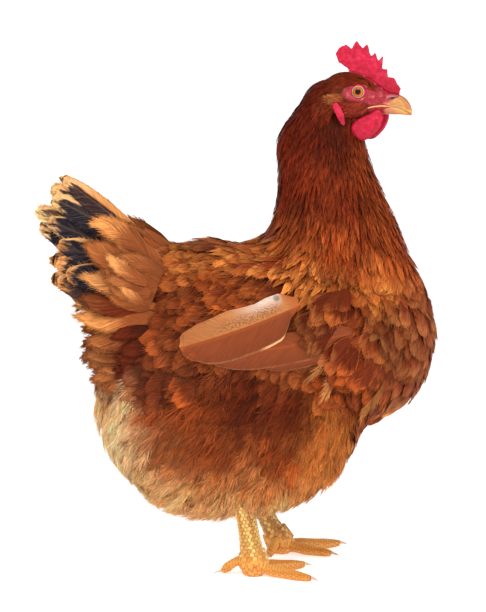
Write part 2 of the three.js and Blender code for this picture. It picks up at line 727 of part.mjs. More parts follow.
function toe(line, { root, tip, joints }) {
  const curve = new THREE.CatmullRomCurve3(line);
  const steps = 7;
  const centres = [...Array(steps + 1).keys()].map((i) => curve.getPoint(i / steps));
  const halves = centres.map((_, i) => {
    const t = i / steps;
    const knuckle = 1 + 0.1 * Math.cos(2 * Math.PI * joints * t);
    const blunt = i === steps ? 0.55 : 1;
    const radius = mix([root, tip], t) * knuckle * blunt;
    return [radius, radius];
  });
  return limb(centres, halves, 7);
}

// A claw: a short horn, curved down to a point just above the floor.
function claw(end, way, length, radius) {
  const side = new THREE.Vector3(-way.y, way.x, 0);
  const centres = [];
  const halves = [];
  for (let k = 0; k <= 4; k++) {
    const t = k / 4;
    const drop = 2.6 * t * t;
    const lift = new THREE.Vector3(0, 0, 0.9 - drop);
    centres.push(end.clone().addScaledVector(way, length * (t - 0.35)).add(lift));
    const r = radius * (1 - 0.86 * t);
    halves.push([r * 0.8, r]);
  }
  return limb(centres, halves, 5, side.cross(way).negate());
}

function footParts(leg, side) {
  const toes = [];
  const claws = [];
  const [x, y] = leg.foot;
  const { radius, high, drop } = FOOT_PAD;
  const pad = ellipsoid([x, y, high - drop], [radius, radius * 0.85, high], [0, 0, degrees(leg.toes)], 10, 7);
  const ankle = limb(
    [9, 15, 21].map((z) => shankAt(leg, z)),
    [[10.6, 13.6], [10, 12.8], [9.2, 11.8]],
    10,
    new THREE.Vector3(1, 0, 0),
  );
  for (const [k, one] of TOES.entries()) {
    const angle = degrees(leg.toes + side * one.angle);
    const line = toeLine([x, y], angle, { ...one, long: one.long + leg.longer[k] });
    toes.push(toe(line, one));
    const way = new THREE.Vector3(Math.cos(angle), Math.sin(angle), 0);
    claws.push([one.name, claw(line.at(-1), way, one.claw, one.tip * 0.62)]);
  }
  const angle = degrees(leg.toes + side * HALLUX.angle);
  const way = new THREE.Vector3(Math.cos(angle), Math.sin(angle), 0);
  const start = new THREE.Vector3(x - 2, y, HALLUX.from);
  const end = new THREE.Vector3(x, y, HALLUX.tip - FLAT).addScaledVector(way, HALLUX.long);
  const line = [0, 0.25, 0.5, 0.75, 1].map((t) => {
    const arch = new THREE.Vector3(0, 0, HALLUX.arch * Math.sin(Math.PI * t));
    return start.clone().lerp(end, t).add(arch);
  });
  toes.push(toe(line, { ...HALLUX, joints: 1 }));
  claws.push([HALLUX.name, claw(end, way, HALLUX.claw, HALLUX.tip * 0.62)]);
  return { parts: [pad, ankle, ...toes], claws };
}

// Where the middle of a leg's shank is at height z.
function shankAt(leg, z) {
  const hock = new THREE.Vector3(...leg.hock);
  const foot = new THREE.Vector3(...leg.foot, 9);
  return foot.lerp(hock, (z - 9) / (hock.z - 9));
}

// The shank from inside the thigh's end to the ankle: a tube whose front steps out at each scute's foot.
function shankOf(leg) {
  const sides = 10;
  const rings = [];
  const [high, low] = SHANK.high;
  const each = (high - low) / SHANK.scutes;
  const ring = (z, proud) => {
    const t = (high - z) / (high - low);
    const swell = 1.8 * (1 - t) ** 4 + SHANK.ankle * t ** 3;
    rings.push(
      Array.from({ length: sides }, (_, j) => {
        const angle = (2 * Math.PI * j) / sides;
        const plate = proud * THREE.MathUtils.smoothstep(Math.cos(angle), -0.1, 0.5);
        const centre = shankAt(leg, z);
        centre.x += (SHANK.fore + swell + plate) * Math.cos(angle);
        centre.y += (SHANK.side + swell + plate) * Math.sin(angle);
        return centre;
      }),
    );
  };
  for (let i = 0; i < SHANK.scutes; i++) {
    ring(high - each * i, 0);
    ring(high - each * (i + 1) + SHANK.lip, SHANK.proud);
  }
  ring(low, 0);
  return solidOf(tubeOf(rings));
}

// ---------------------------------------------------------------- the nodes

const LOOKS = {
  feather: { color: 0x8a4218, roughness: 0.85 },
  hackle: { color: 0x7a3010, roughness: 0.75 },
  tail: { color: 0xa06a3a, roughness: 0.8 },
  wing: { color: 0xa45c34, roughness: 0.7 },
  comb: { color: 0xd01035, roughness: 0.5 },
  beak: { color: 0xd9a45a, roughness: 0.4 },
  leg: { color: 0xd99a35, roughness: 0.6 },
  claw: { color: 0xe8cdb0, roughness: 0.4 },
  eye: { color: 0xc8781c, roughness: 0.1 },
};

const hen = new THREE.Group();
function addNode(name, look, solid) {
  const material = new THREE.MeshStandardMaterial({ metalness: 0, ...LOOKS[look] });
  const mesh = new THREE.Mesh(geometryOf(largest(solid)), material);
  mesh.name = name;
  hen.add(mesh);
  return mesh;
}

const floor = solidOf(new THREE.BoxGeometry(600, 600, 60).translate(0, 0, -30));
const torsoClear = solidOf(torso, GAP);
const headBody = headSolid();
const headClear = solidOf(geometryOf(headBody), GAP);
const hackleVanes = hackle();
const neckClear = joined([neckCore, ...hackleVanes], GAP);
const eyes = SIDES.map(([, side]) => eyeBall(side));
const upper = beakUpper();
const upperClear = solidOf(geometryOf(upper), GAP);
const lowerGeometry = onHead(new Loft(BEAK_LOWER).geometry(6, 10));

addNode("torso", "feather", solidOf(torso));
const neckWhole = joined([neckCore, ...hackleVanes]).subtract(torsoClear).subtract(headClear);
const [neckLower, neckUpper] = neckLengths(neckWhole);
addNode("neck_lower", "hackle", neckLower);
addNode("neck_upper", "hackle", neckUpper);
addNode("head", "hackle", headBody.subtract(joined(eyes, GAP)));
addNode("comb", "comb", solidOf(comb()).subtract(headClear).subtract(upperClear));
addNode("beak_upper", "beak", upper.subtract(headClear));
addNode("beak_lower", "beak", solidOf(lowerGeometry).subtract(headClear).subtract(upperClear));

const wings = {};
SIDES.forEach(([label, side], i) => {
  const leg = LEGS[label];
  addNode(`eye_${label}`, "eye", solidOf(eyes[i]));
  const hung = joined([lowerGeometry], GAP).add(solidOf(neckCore, GAP)).add(headClear);
  addNode(`wattle_${label}`, "comb", solidOf(wattle(side)).subtract(hung));
  addNode(`earlobe_${label}`, "comb", solidOf(earlobe(side)).subtract(headClear).subtract(neckClear));

  wings[label] = wingOf(side, thighs[label]);
  const wingClear = joined(wings[label], GAP);
  const thighClear = solidOf(thighs[label], GAP);
  addNode(`wing_${label}`, "wing", joined(wings[label]).subtract(torsoClear).subtract(neckClear));
  addNode(`thigh_${label}`, "feather", solidOf(thighs[label]).subtract(torsoClear).subtract(wingClear));

  const { parts, claws } = footParts(leg, side);
  const footClear = joined(parts, GAP);
  const shank = shankOf(leg).subtract(thighClear).subtract(torsoClear).subtract(footClear);
  addNode(`shank_${label}`, "leg", shank);
  addNode(`foot_${label}`, "leg", joined(parts).subtract(floor));
  for (const [toeName, horn] of claws)
    addNode(`claw_${label}_${toeName}`, "claw", solidOf(horn).subtract(footClear).subtract(floor));
});

const tailParts = [new Loft(TAIL_CORE).geometry(7, 14), ...tailFan(TAIL), ...TAIL_COVERTS.flatMap(tailFan)];
addNode(
  "tail",
  "tail",
  joined(tailParts)
    .subtract(torsoClear)
    .subtract(joined(wings.left, GAP))
    .subtract(joined(wings.right, GAP)),
);

// The origin is the middle of the hen's box, on the floor.
const box = new THREE.Box3().setFromObject(hen);
hen.position.set(-(box.min.x + box.max.x) / 2, -(box.min.y + box.max.y) / 2, 0);
const part = new THREE.Group();
part.add(hen);

export default part;
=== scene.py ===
import math

import bpy
import numpy as np
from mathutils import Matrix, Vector
from mathutils.bvhtree import BVHTree


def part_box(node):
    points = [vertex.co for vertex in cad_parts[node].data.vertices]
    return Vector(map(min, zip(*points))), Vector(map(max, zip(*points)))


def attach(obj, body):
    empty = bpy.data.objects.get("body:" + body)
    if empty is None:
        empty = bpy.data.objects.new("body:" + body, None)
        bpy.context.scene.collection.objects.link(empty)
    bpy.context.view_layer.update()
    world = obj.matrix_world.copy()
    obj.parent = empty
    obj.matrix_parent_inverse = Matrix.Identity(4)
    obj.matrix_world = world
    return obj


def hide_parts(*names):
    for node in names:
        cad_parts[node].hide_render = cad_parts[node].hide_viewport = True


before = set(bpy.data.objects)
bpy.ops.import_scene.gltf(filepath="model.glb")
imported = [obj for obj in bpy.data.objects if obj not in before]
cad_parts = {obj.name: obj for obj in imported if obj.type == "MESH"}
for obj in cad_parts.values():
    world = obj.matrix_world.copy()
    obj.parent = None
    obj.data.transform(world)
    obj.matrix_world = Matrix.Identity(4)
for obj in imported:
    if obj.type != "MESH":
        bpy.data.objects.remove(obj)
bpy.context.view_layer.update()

# ---------------------------------------------------------------- places shared with the solids

MM = 0.001
HEAD_AT = np.array([80.0, 0.0, 400.0])
HEAD_TURN = math.radians(-20)
# The head's own axes, x forward, y left and z up, as rows.
HEAD_AXES = np.array([
    [math.cos(HEAD_TURN), math.sin(HEAD_TURN), 0],
    [-math.sin(HEAD_TURN), math.cos(HEAD_TURN), 0],
    [0, 0, 1],
])
EYE = {"x": 20.6, "y": 8.2, "z": 6.8, "ball": 7.4, "opening": 5.6}
RIGHT, LEFT = -1, 1
SIDES = (("left", LEFT), ("right", RIGHT))


def head_to_hen(points):
    return np.asarray(points, float) @ HEAD_AXES + HEAD_AT


def hen_to_head(points):
    return (points - HEAD_AT) @ HEAD_AXES.T


def middle_of(node):
    low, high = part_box(node)
    return np.array((low + high) / 2)


ORIGIN = middle_of("eye_right") - head_to_hen([EYE["x"], RIGHT * EYE["y"], EYE["z"]]) * MM


def to_row(points):
    return np.asarray(points, float) * MM + ORIGIN


def to_hen(points):
    return (np.asarray(points, float) - ORIGIN) / MM


# ---------------------------------------------------------------- colours

# sRGB values of the plumage and the bare parts.
PALETTE = {
    "umber": (58, 20, 7),
    "mahogany": (90, 24, 7),
    "hackle": (114, 34, 9),
    "chestnut": (98, 34, 10),
    "russet": (128, 48, 18),
    "rust": (146, 50, 34),
    "brown": (138, 72, 36),
    "amber": (178, 82, 31),
    "gold": (212, 128, 58),
    "tan": (172, 100, 52),
    "buff": (226, 150, 84),
    "cream": (250, 190, 128),
    "pale": (255, 206, 152),
    "quill": (132, 60, 24),
    "smoke": (118, 100, 94),
    "soot": (32, 28, 36),
    "rose": (184, 34, 54),
    "blood": (168, 12, 34),
    "blush": (224, 116, 120),
    "comb": (170, 0, 32),
    "comb_bright": (206, 2, 56),
    # a pale red painted as highlight patches on the comb, wattles, earlobes and outer lid rings
    "comb_painted_highlight": (236, 84, 120),
    "comb_low": (150, 0, 24),
    "white_web": (236, 222, 208),
    "pepper": (104, 66, 48),
    "iris": (140, 52, 8),
    "iris_bright": (218, 116, 26),
    "iris_rim": (150, 128, 58),
    "eye_rim": (36, 20, 16),
    "lid": (206, 150, 128),
    "lid_pale": (228, 190, 164),
    "horn": (212, 152, 84),
    "horn_ridge": (158, 80, 44),
    "horn_tip": (196, 108, 40),
    "horn_base": (206, 106, 84),
    "horn_seam": (190, 116, 62),
    # a pale yellow laid on the beak as a painted highlight band
    "horn_painted_highlight": (240, 206, 128),
    "gape": (232, 184, 112),
    "cere": (178, 24, 48),
    # the flap over the nostril, paler partly by its own skin and partly as a painted highlight
    "cere_pale": (196, 124, 118),
    # the dark inside the nostril's hole, a painted shade
    "nostril": (74, 18, 30),
    "scale": (204, 134, 44),
    "scale_pale": (248, 206, 116),
    # a browner, darker tone that paints shade on the far leg
    "scale_far_shade": (140, 88, 40),
    "toe": (232, 150, 50),
    "toe_seam": (180, 86, 28),
    "leg_seam": (88, 54, 28),
    "sole": (222, 150, 66),
    "claw": (196, 140, 112),
    "claw_pale": (238, 212, 192),
}


def linear(rgb):
    """An sRGB colour of 0 to 255 as linear light."""
    c = np.asarray(rgb, float) / 255
    return np.where(c <= 0.04045, c / 12.92, ((c + 0.055) / 1.055) ** 2.4)


COLOUR = {name: linear(rgb) for name, rgb in PALETTE.items()}


# ---------------------------------------------------------------- meshes

def smoothstep(low, high, x):
    t = np.clip((np.asarray(x, float) - low) / (high - low), 0, 1)
    return t * t * (3 - 2 * t)


def unit(v):
    v = np.asarray(v, float)
    return v / np.maximum(np.linalg.norm(v, axis=-1, keepdims=True), 1e-9)


def lerp(a, b, t):
    return a + (b - a) * t


def washed(base, *layers):
    """A named colour with others laid over it in turn, each with its share at each point."""
    tone = COLOUR[base]
    for name, share in layers:
        tone = lerp(tone, COLOUR[name], share[:, None])
    return tone


def through(a, b, c, d, t):
    """A smooth line through a, b, c and d, from b at t = 0 to c at t = 1."""
    return 0.5 * (2 * b + (c - a) * t + (2 * a - 5 * b + 4 * c - d) * t**2 + (3 * b - a - 3 * c + d) * t**3)


def folded(points):
    """Points with their mirror images laid on them."""
    return np.abs(points) * (0, 1, 0) + points * (1, 0, 1)


def spot(x, z, at, size):
    """1 at a place (x, z), fading round it over size."""
    return np.exp(-(((x - at[0]) / size[0]) ** 2 + ((z - at[1]) / size[1]) ** 2))


def full_turn(count):
    return np.linspace(0, 2 * math.pi, count, endpoint=False)


def tube_quads(rings, sides, closed=False):
    """Faces between rings of points. closed: the last ring is joined to the first one."""
    i, j = np.meshgrid(np.arange(rings if closed else rings - 1), np.arange(sides), indexing="ij")
    next_i, next_j = (i + 1) % rings, (j + 1) % sides
    quads = np.stack([i * sides + j, next_i * sides + j, next_i * sides + next_j, i * sides + next_j], axis=2)
    return quads.reshape(-1, 4)


# The order of a face's corners that turns it over.
OVER = [0, 3, 2, 1]


def end_caps(rings, sides):
    """Triangles from a tube's first and last ring to the two points that follow the rings."""
    around, last, tip = np.arange(sides), (rings - 1) * sides, rings * sides
    onward = (around + 1) % sides
    first_cap = np.stack([around, onward, 0 * around + tip], axis=1)
    last_cap = np.stack([last + onward, last + around, 0 * around + tip + 1], axis=1)
    return np.concatenate([first_cap, last_cap])


def add_object(name, data):
    made = bpy.data.objects.new(name, data)
    bpy.context.scene.collection.objects.link(made)
    return made


def mesh_piece(name, points, quads, tris=(), colours=None, vectors=None, uv=None):
    """A mesh object from points of the hen's frame. colours and vectors are named values at each point."""
    mesh = bpy.data.meshes.new(name)
    quads = np.asarray(quads, np.int32).reshape(-1, 4)
    tris = np.asarray(tris, np.int32).reshape(-1, 3)
    corners = np.concatenate([quads.ravel(), tris.ravel()])
    starts = np.concatenate([np.arange(len(quads)) * 4, len(quads) * 4 + np.arange(len(tris)) * 3])
    mesh.vertices.add(len(points))
    mesh.vertices.foreach_set("co", to_row(points).astype(np.float32).ravel())
    mesh.loops.add(len(corners))
    mesh.loops.foreach_set("vertex_index", corners)
    mesh.polygons.add(len(starts))
    mesh.polygons.foreach_set("loop_start", starts.astype(np.int32))
    mesh.update(calc_edges=True)
    mesh.polygons.foreach_set("use_smooth", np.ones(len(starts), bool))
    for key, value in (colours or {}).items():
        layer = mesh.attributes.new(key, "FLOAT_COLOR", "POINT")
        value = np.concatenate([value, np.ones((len(value), 1))], axis=1)
        layer.data.foreach_set("color", value.astype(np.float32).ravel())
    for key, value in (vectors or {}).items():
        layer = mesh.attributes.new(key, "FLOAT_VECTOR", "POINT")
        layer.data.foreach_set("vector", value.astype(np.float32).ravel())
    if uv is not None:
        layer = mesh.uv_layers.new(name="OFBake")
        layer.uv.foreach_set("vector", np.asarray(uv, np.float32)[corners].ravel())
    return add_object(name, mesh)


def bare_mesh(name, points, quads, tris):
    """A mesh without an object."""
    piece = mesh_piece(name, points, quads, tris)
    mesh = piece.data
    bpy.data.objects.remove(piece)
    return mesh


def read(items, field, width, kind=np.float32):
    """One field of a mesh's points, edges or faces, as rows of width values."""
    values = np.empty(len(items) * width, kind)
    items.foreach_get(field, values)
    return values.reshape(-1, width)


def sharpen_borders(mesh, vane_points, rows, ring):
    """Keeps the shading of a vane's face apart from that of its underside, along the rim."""
    ends = read(mesh.edges, "vertices", 2, np.int32)
    column, row = ends % ring, (ends % (rows * ring)) // ring
    rim = (column[:, 0] == column[:, 1]) & ((column[:, 0] == 0) | (column[:, 0] == ring - 2))
    end = (row[:, 0] == row[:, 1]) & ((row[:, 0] == 0) | (row[:, 0] == rows - 1))
    sharp = (ends < vane_points).all(1) & (rim | end & (column < ring - 1).all(1))
    mesh.attributes.new("sharp_edge", "BOOLEAN", "EDGE").data.foreach_set("value", sharp)


def finished(piece, material, slot, *nodes):
    """Gives a piece its material, lets it ride on the body, and hides the nodes it stands for; slot is not
    used.
    """
    piece.data.materials.clear()
    piece.data.materials.append(material)
    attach(piece, "root")
    if nodes:
        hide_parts(*nodes)
    return piece


def arrays_of(mesh):
    """The points (hen's frame), triangles and vertex normals of a mesh."""
    mesh.calc_loop_triangles()
    points, normals = read(mesh.vertices, "co", 3), read(mesh.vertices, "normal", 3)
    return to_hen(points), read(mesh.loop_triangles, "vertices", 3, np.int32), normals.astype(float)


def quads_of(mesh):
    """The faces of a voxel-remeshed mesh, all of them quads."""
    return read(mesh.loops, "vertex_index", 1, np.int32).reshape(-1, 4)


def solids(*nodes):
    return [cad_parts[node].data for node in nodes]


def remeshed(name, meshes, voxel, passes):
    """Several meshes as one skin of even quads, smoothed. voxel is in millimetres."""
    points, faces, start = [], [], 0
    for mesh in meshes:
        p, t, _ = arrays_of(mesh)
        points.append(p)
        faces.append(t + start)
        start += len(p)
    piece = mesh_piece(name, np.concatenate(points), [], np.concatenate(faces))
    remesh = piece.modifiers.new("even", "REMESH")
    remesh.mode = "VOXEL"
    remesh.voxel_size = voxel * MM
    smooth = piece.modifiers.new("smooth", "SMOOTH")
    smooth.factor = 0.5
    smooth.iterations = passes
    graph = bpy.context.evaluated_depsgraph_get()
    made = bpy.data.meshes.new_from_object(piece.evaluated_get(graph))
    bpy.data.objects.remove(piece)
    return made


def value_noise(points, scale, seed):
    """Smooth noise from -1 to 1 at points, with features about scale across."""
    p = np.asarray(points, float) / scale
    cell = np.floor(p).astype(np.int64)
    t = p - cell
    t = t * t * (3 - 2 * t)
    total = np.zeros(len(p))
    for corner in np.ndindex(2, 2, 2):
        c = cell + corner
        h = (c[:, 0] * 73856093) ^ (c[:, 1] * 19349663) ^ (c[:, 2] * 83492791) ^ (seed * 2654435761)
        h = (h ^ (h >> 13)) * 1274126177
        value = ((h ^ (h >> 16)) & 0xFFFF) / 32767.5 - 1
        share = np.prod(np.where(np.array(corner) == 1, t, 1 - t), axis=1)
        total += value * share
    return total


# ---------------------------------------------------------------- the lie of the coat

# Each guide: place (x, |y|, z), the way the feathers lie there, kind, length, width, coat depth, colours of
# feather middle and tip. Kinds: h hackle, c contour feather, l loose feather, f fluff.
GUIDES = [
    # neck
    ((66, 12, 412), (-0.62, 0.20, -0.75), "h", 20, 3.2, 2.6, "mahogany", "hackle"),
    ((50, 18, 390), (-0.45, 0.20, -0.87), "h", 26, 3.6, 4.0, "mahogany", "hackle"),
    # under the wattles: umber and mahogany here are a painted shadow
    ((80, 20, 392), (-0.20, 0.20, -0.96), "h", 20, 3.2, 2.4, "umber", "mahogany"),
    ((98, 14, 382), (-0.10, 0.10, -0.98), "h", 20, 3.2, 2.4, "mahogany", "hackle"),
    ((84, 24, 380), (-0.05, 0.20, -0.98), "h", 26, 3.8, 4.0, "umber", "mahogany"),
    ((104, 12, 372), (0.02, 0.10, -0.99), "h", 24, 3.8, 4.0, "russet", "amber"),
    ((32, 22, 355), (-0.22, 0.15, -0.96), "h", 36, 4.2, 5.0, "mahogany", "hackle"),
    ((78, 36, 345), (-0.05, 0.20, -0.98), "h", 38, 4.4, 5.0, "mahogany", "russet"),
    ((116, 18, 335), (0.12, 0.10, -0.98), "h", 32, 4.4, 5.0, "hackle", "amber"),
    ((28, 34, 320), (-0.20, 0.20, -0.96), "h", 46, 4.8, 6.0, "mahogany", "amber"),
    ((78, 50, 305), (-0.08, 0.25, -0.96), "h", 46, 5.2, 6.0, "hackle", "amber"),
    ((128, 28, 300), (0.20, 0.15, -0.96), "h", 38, 5.4, 6.0, "hackle", "amber"),
    ((10, 36, 288), (-0.70, 0.25, -0.60), "h", 52, 6.0, 7.0, "russet", "gold"),
    ((60, 60, 278), (-0.35, 0.30, -0.88), "h", 36, 8.0, 7.0, "russet", "gold"),
    # the neck's base at the back: russet and amber here are painted light from behind along the outline
    ((18, 6, 300), (-0.62, 0.08, -0.76), "h", 36, 5.0, 5.0, "russet", "amber"),
    ((110, 55, 270), (-0.05, 0.30, -0.95), "c", 36, 16, 7.0, "amber", "gold"),
    # breast
    ((150, 22, 255), (0.18, 0.10, -0.97), "c", 32, 16, 6.0, "russet", "tan"),
    ((162, 10, 215), (-0.02, 0.05, -0.99), "c", 33, 18, 6.0, "russet", "tan"),
    ((148, 32, 195), (-0.25, 0.10, -0.95), "c", 35, 19, 7.0, "russet", "tan"),
    ((132, 22, 140), (-0.70, 0.05, -0.70), "c", 36, 18, 8.0, "tan", "buff"),
    ((128, 48, 232), (-0.35, 0.30, -0.88), "c", 36, 19, 7.0, "chestnut", "tan"),
    ((120, 48, 165), (-0.55, 0.15, -0.80), "c", 36, 18, 8.0, "chestnut", "amber"),
    # shoulder and wing coverts
    ((96, 66, 238), (-0.60, 0.15, -0.75), "c", 32, 18, 6.0, "chestnut", "amber"),
    ((70, 74, 214), (-0.72, 0.10, -0.66), "c", 34, 18, 6.0, "chestnut", "tan"),
    ((84, 70, 185), (-0.68, 0.10, -0.70), "c", 36, 20, 7.0, "chestnut", "amber"),
    ((30, 78, 245), (-0.95, 0.02, -0.28), "c", 40, 19, 7.0, "umber", "amber"),
    ((-20, 74, 244), (-0.97, -0.02, -0.20), "c", 42, 20, 7.0, "umber", "amber"),
    # back
    ((30, 20, 283), (-1.00, 0.05, -0.05), "c", 38, 15, 7.0, "russet", "gold"),
    ((-20, 15, 284), (-1.00, 0.02, 0.05), "c", 38, 16, 7.0, "chestnut", "gold"),
    ((0, 55, 270), (-0.97, 0.10, -0.20), "c", 38, 17, 7.0, "chestnut", "amber"),
    ((-60, 40, 268), (-0.95, 0.00, 0.15), "c", 42, 19, 7.0, "russet", "tan"),
    ((-80, 12, 272), (-0.85, 0.00, 0.52), "c", 42, 17, 7.0, "tan", "buff"),
    ((-70, 60, 230), (-0.97, -0.05, -0.15), "c", 44, 18, 8.0, "chestnut", "amber"),
    ((-100, 45, 205), (-0.90, -0.10, -0.35), "c", 46, 18, 9.0, "umber", "chestnut"),
    ((-84, 60, 196), (-0.90, -0.10, -0.40), "c", 36, 18, 9.0, "umber", "chestnut"),
    # below the wing's quills: umber here is a painted shadow under the wing
    ((-60, 72, 182), (-0.80, 0.00, -0.60), "c", 38, 18, 9.0, "umber", "chestnut"),
    ((-95, 10, 230), (-0.95, 0.00, 0.05), "c", 46, 18, 9.0, "russet", "tan"),
    # flank
    ((40, 78, 160), (-0.45, 0.05, -0.88), "l", 40, 18, 9.0, "chestnut", "russet"),
    ((0, 80, 168), (-0.55, 0.02, -0.82), "l", 40, 18, 9.0, "umber", "russet"),
    ((-40, 76, 160), (-0.66, 0.02, -0.74), "l", 42, 18, 10, "chestnut", "amber"),
    ((-75, 64, 160), (-0.72, -0.05, -0.68), "l", 42, 17, 11, "russet", "amber"),
    ((70, 76, 150), (-0.40, 0.05, -0.90), "l", 38, 17, 9.0, "amber", "gold"),
    ((56, 82, 132), (-0.38, 0.03, -0.92), "l", 38, 17, 9.0, "amber", "gold"),
    ((30, 80, 125), (-0.42, 0.00, -0.90), "l", 40, 17, 11, "russet", "amber"),
    ((-20, 78, 125), (-0.58, 0.00, -0.80), "l", 40, 17, 11, "russet", "amber"),
    ((-60, 68, 125), (-0.60, 0.00, -0.80), "l", 40, 16, 12, "amber", "tan"),
    ((10, 70, 92), (-0.45, 0.00, -0.88), "f", 38, 15, 12, "amber", "buff"),
    ((-25, 68, 92), (-0.45, 0.00, -0.88), "f", 38, 15, 12, "amber", "buff"),
    ((-20, 58, 66), (-0.45, 0.00, -0.88), "f", 36, 14, 11, "buff", "cream"),
    # belly, rear
    ((70, 25, 82), (-0.85, 0.05, -0.50), "l", 34, 15, 9.0, "tan", "buff"),
    ((0, 25, 50), (-0.90, 0.00, -0.40), "f", 32, 14, 9.0, "buff", "cream"),
    ((-50, 50, 80), (-0.55, -0.02, -0.82), "f", 38, 14, 12, "buff", "cream"),
    ((-70, 25, 62), (-0.75, 0.00, -0.65), "f", 36, 14, 12, "buff", "cream"),
    ((-85, 52, 105), (-0.55, -0.05, -0.82), "f", 40, 14, 13, "tan", "cream"),
    ((-100, 46, 130), (-0.55, -0.05, -0.82), "f", 40, 14, 13, "cream", "pale"),
    ((-94, 56, 166), (-0.50, -0.05, -0.86), "f", 36, 14, 12, "buff", "pale"),
    ((-100, 50, 148), (-0.50, -0.05, -0.86), "f", 36, 14, 12, "cream", "pale"),
    ((-118, 15, 140), (-0.50, 0.00, -0.86), "f", 40, 14, 12, "cream", "pale"),
    ((-116, 20, 172), (-0.60, 0.00, -0.80), "f", 38, 15, 11, "buff", "cream"),
    # thighs
    ((66, 84, 120), (-0.25, 0.00, -0.97), "l", 38, 16, 9.0, "tan", "gold"),
    ((52, 70, 92), (-0.30, -0.02, -0.95), "f", 34, 13, 9.0, "gold", "buff"),
    ((24, 62, 76), (-0.30, -0.05, -0.95), "f", 28, 12, 7.0, "gold", "cream"),
    ((10, 50, 60), (-0.22, -0.05, -0.97), "f", 16, 7.0, 3.0, "tan", "cream"),
]
KINDS = "hclf"

# Guides of the head, in its frame.
HEAD_GUIDES = [
    ((8, 5, 23), (-0.98, 0.10, -0.05), "h", 12, 2.3, 1.5, "mahogany", "russet"),
    ((20, 11, 17), (-0.95, 0.15, -0.20), "h", 9, 1.9, 0.9, "mahogany", "hackle"),
    ((30, 7, 14), (-0.95, 0.20, 0.10), "h", 6, 1.6, 0.6, "hackle", "russet"),
    ((-2, 9, 18), (-0.88, 0.10, -0.45), "h", 18, 2.8, 2.2, "mahogany", "hackle"),
    ((-9, 6, 4), (-0.50, 0.10, -0.86), "h", 22, 3.0, 2.6, "mahogany", "russet"),
    ((3, 14, 9), (-0.85, 0.20, -0.48), "h", 14, 2.4, 1.5, "mahogany", "hackle"),
    ((6, 14.8, 1.5), (-0.97, 0.20, 0.05), "h", 11, 2.0, 2.6, "brown", "tan"),
    ((5, 14, -4), (-0.75, 0.15, -0.62), "h", 12, 2.2, 1.6, "mahogany", "russet"),
    ((14, 14.5, -3), (-0.80, 0.15, -0.50), "h", 9, 1.9, 1.0, "hackle", "rust"),
    ((13, 14.5, 1), (-0.90, 0.15, -0.20), "h", 8, 1.9, 1.0, "mahogany", "rust"),
    ((20, 13, -7), (-0.80, 0.15, -0.55), "h", 8, 1.8, 0.9, "rust", "rust"),
    ((9, 14, -11), (-0.60, 0.10, -0.78), "h", 12, 2.3, 1.4, "hackle", "rust"),
    # behind and under the wattles: umber here is a painted shadow
    ((12, 10, -19), (-0.45, 0.10, -0.88), "h", 12, 2.3, 1.2, "umber", "umber"),
    ((22, 8, -14), (-0.60, 0.10, -0.80), "h", 9, 2.0, 1.0, "hackle", "rust"),
    ((-4, 13, -10), (-0.42, 0.15, -0.90), "h", 20, 2.8, 2.4, "mahogany", "hackle"),
]


class Lie:
    """How the coat lies at each of many places: the way, the kinds' shares, size, depth and colours."""

    def __init__(self, way, kind, sizes, middle, tip):
        self.way, self.kind, self.middle, self.tip = way, kind, middle, tip
        self.long, self.wide, self.deep = sizes.T


class Bed:
    """A surface that feathers grow on, with the guides that say how they lie.

    axes, at: the frame of the guides, mirrored in its y = 0. blend: how softly guides give way to others.
    """

    def __init__(self, points, triangles, guides, axes=np.eye(3), at=(0, 0, 0), blend=90.0):
        self.points, self.triangles, self.guides, self.blend = points, triangles, guides, blend
        self.tree = BVHTree.FromPolygons([Vector(p) for p in points], triangles.tolist())
        self.axes, self.at = axes, np.array(at, float)

    def local(self, points):
        return (np.asarray(points, float) - self.at) @ self.axes.T

    def lie(self, points):
        own = self.local(points)
        places = np.array([g[0] for g in self.guides], float)
        gap = ((folded(own)[:, None] - places[None]) ** 2).sum(2)
        share = 1 / (gap + self.blend) ** 2.5
        share /= share.sum(1, keepdims=True)
        way = share @ np.array([g[1] for g in self.guides])
        way[:, 1] *= np.where(own[:, 1] < 0, -1, 1)
        return Lie(
            unit(way @ self.axes),
            share @ np.array([[g[2] == k for k in KINDS] for g in self.guides], float),
            share @ np.array([g[3:6] for g in self.guides], float),
            share @ np.array([COLOUR[g[6]] for g in self.guides]),
            share @ np.array([COLOUR[g[7]] for g in self.guides]),
        )


# The unwrap of the skin's own shape: the body round its long axis, the neck round its own.
NECK_LINE = ((82, 400), (70, 360), (76, 320), (80, 285))


def unwrap(points):
    """Where points of the skin lie on its unwrap: the body's island below, the neck's above."""
    p = np.asarray(points, float)
    upper = p[:, 2] > 292
    around = np.arctan2(p[:, 1], p[:, 2] - 165) / (2 * math.pi) + 0.5
    body = np.stack([0.03 + 0.94 * (p[:, 0] + 190) / 370, 0.02 + 0.56 * around], axis=1)
    heights = [z for _, z in reversed(NECK_LINE)]
    middle = np.interp(p[:, 2], heights, [x for x, _ in reversed(NECK_LINE)])
    turn = np.arctan2(p[:, 1], p[:, 0] - middle) / (2 * math.pi) + 0.5
    neck = np.stack([0.03 + 0.94 * turn, 0.62 + 0.34 * (p[:, 2] - 285) / 170], axis=1)
    return np.where(upper[:, None], neck, body)


# ---------------------------------------------------------------- skin

WING = {"x": 24, "z": 226, "long": 82, "high": 46, "tilt": math.radians(7), "proud": 9.0}


def wing_pillow(points):
    """How far the folded wing lifts the flank at points."""
    p = np.asarray(points, float)
    c, s = math.cos(WING["tilt"]), math.sin(WING["tilt"])
    dx, dz = p[:, 0] - WING["x"], p[:, 2] - WING["z"]
    u, v = (dx * c + dz * s) / WING["long"], (-dx * s + dz * c) / WING["high"]
    high = np.clip(1 - u * u - v * v, 0, 1) ** 0.6
    return WING["proud"] * high * smoothstep(25, 55, np.abs(p[:, 1]))


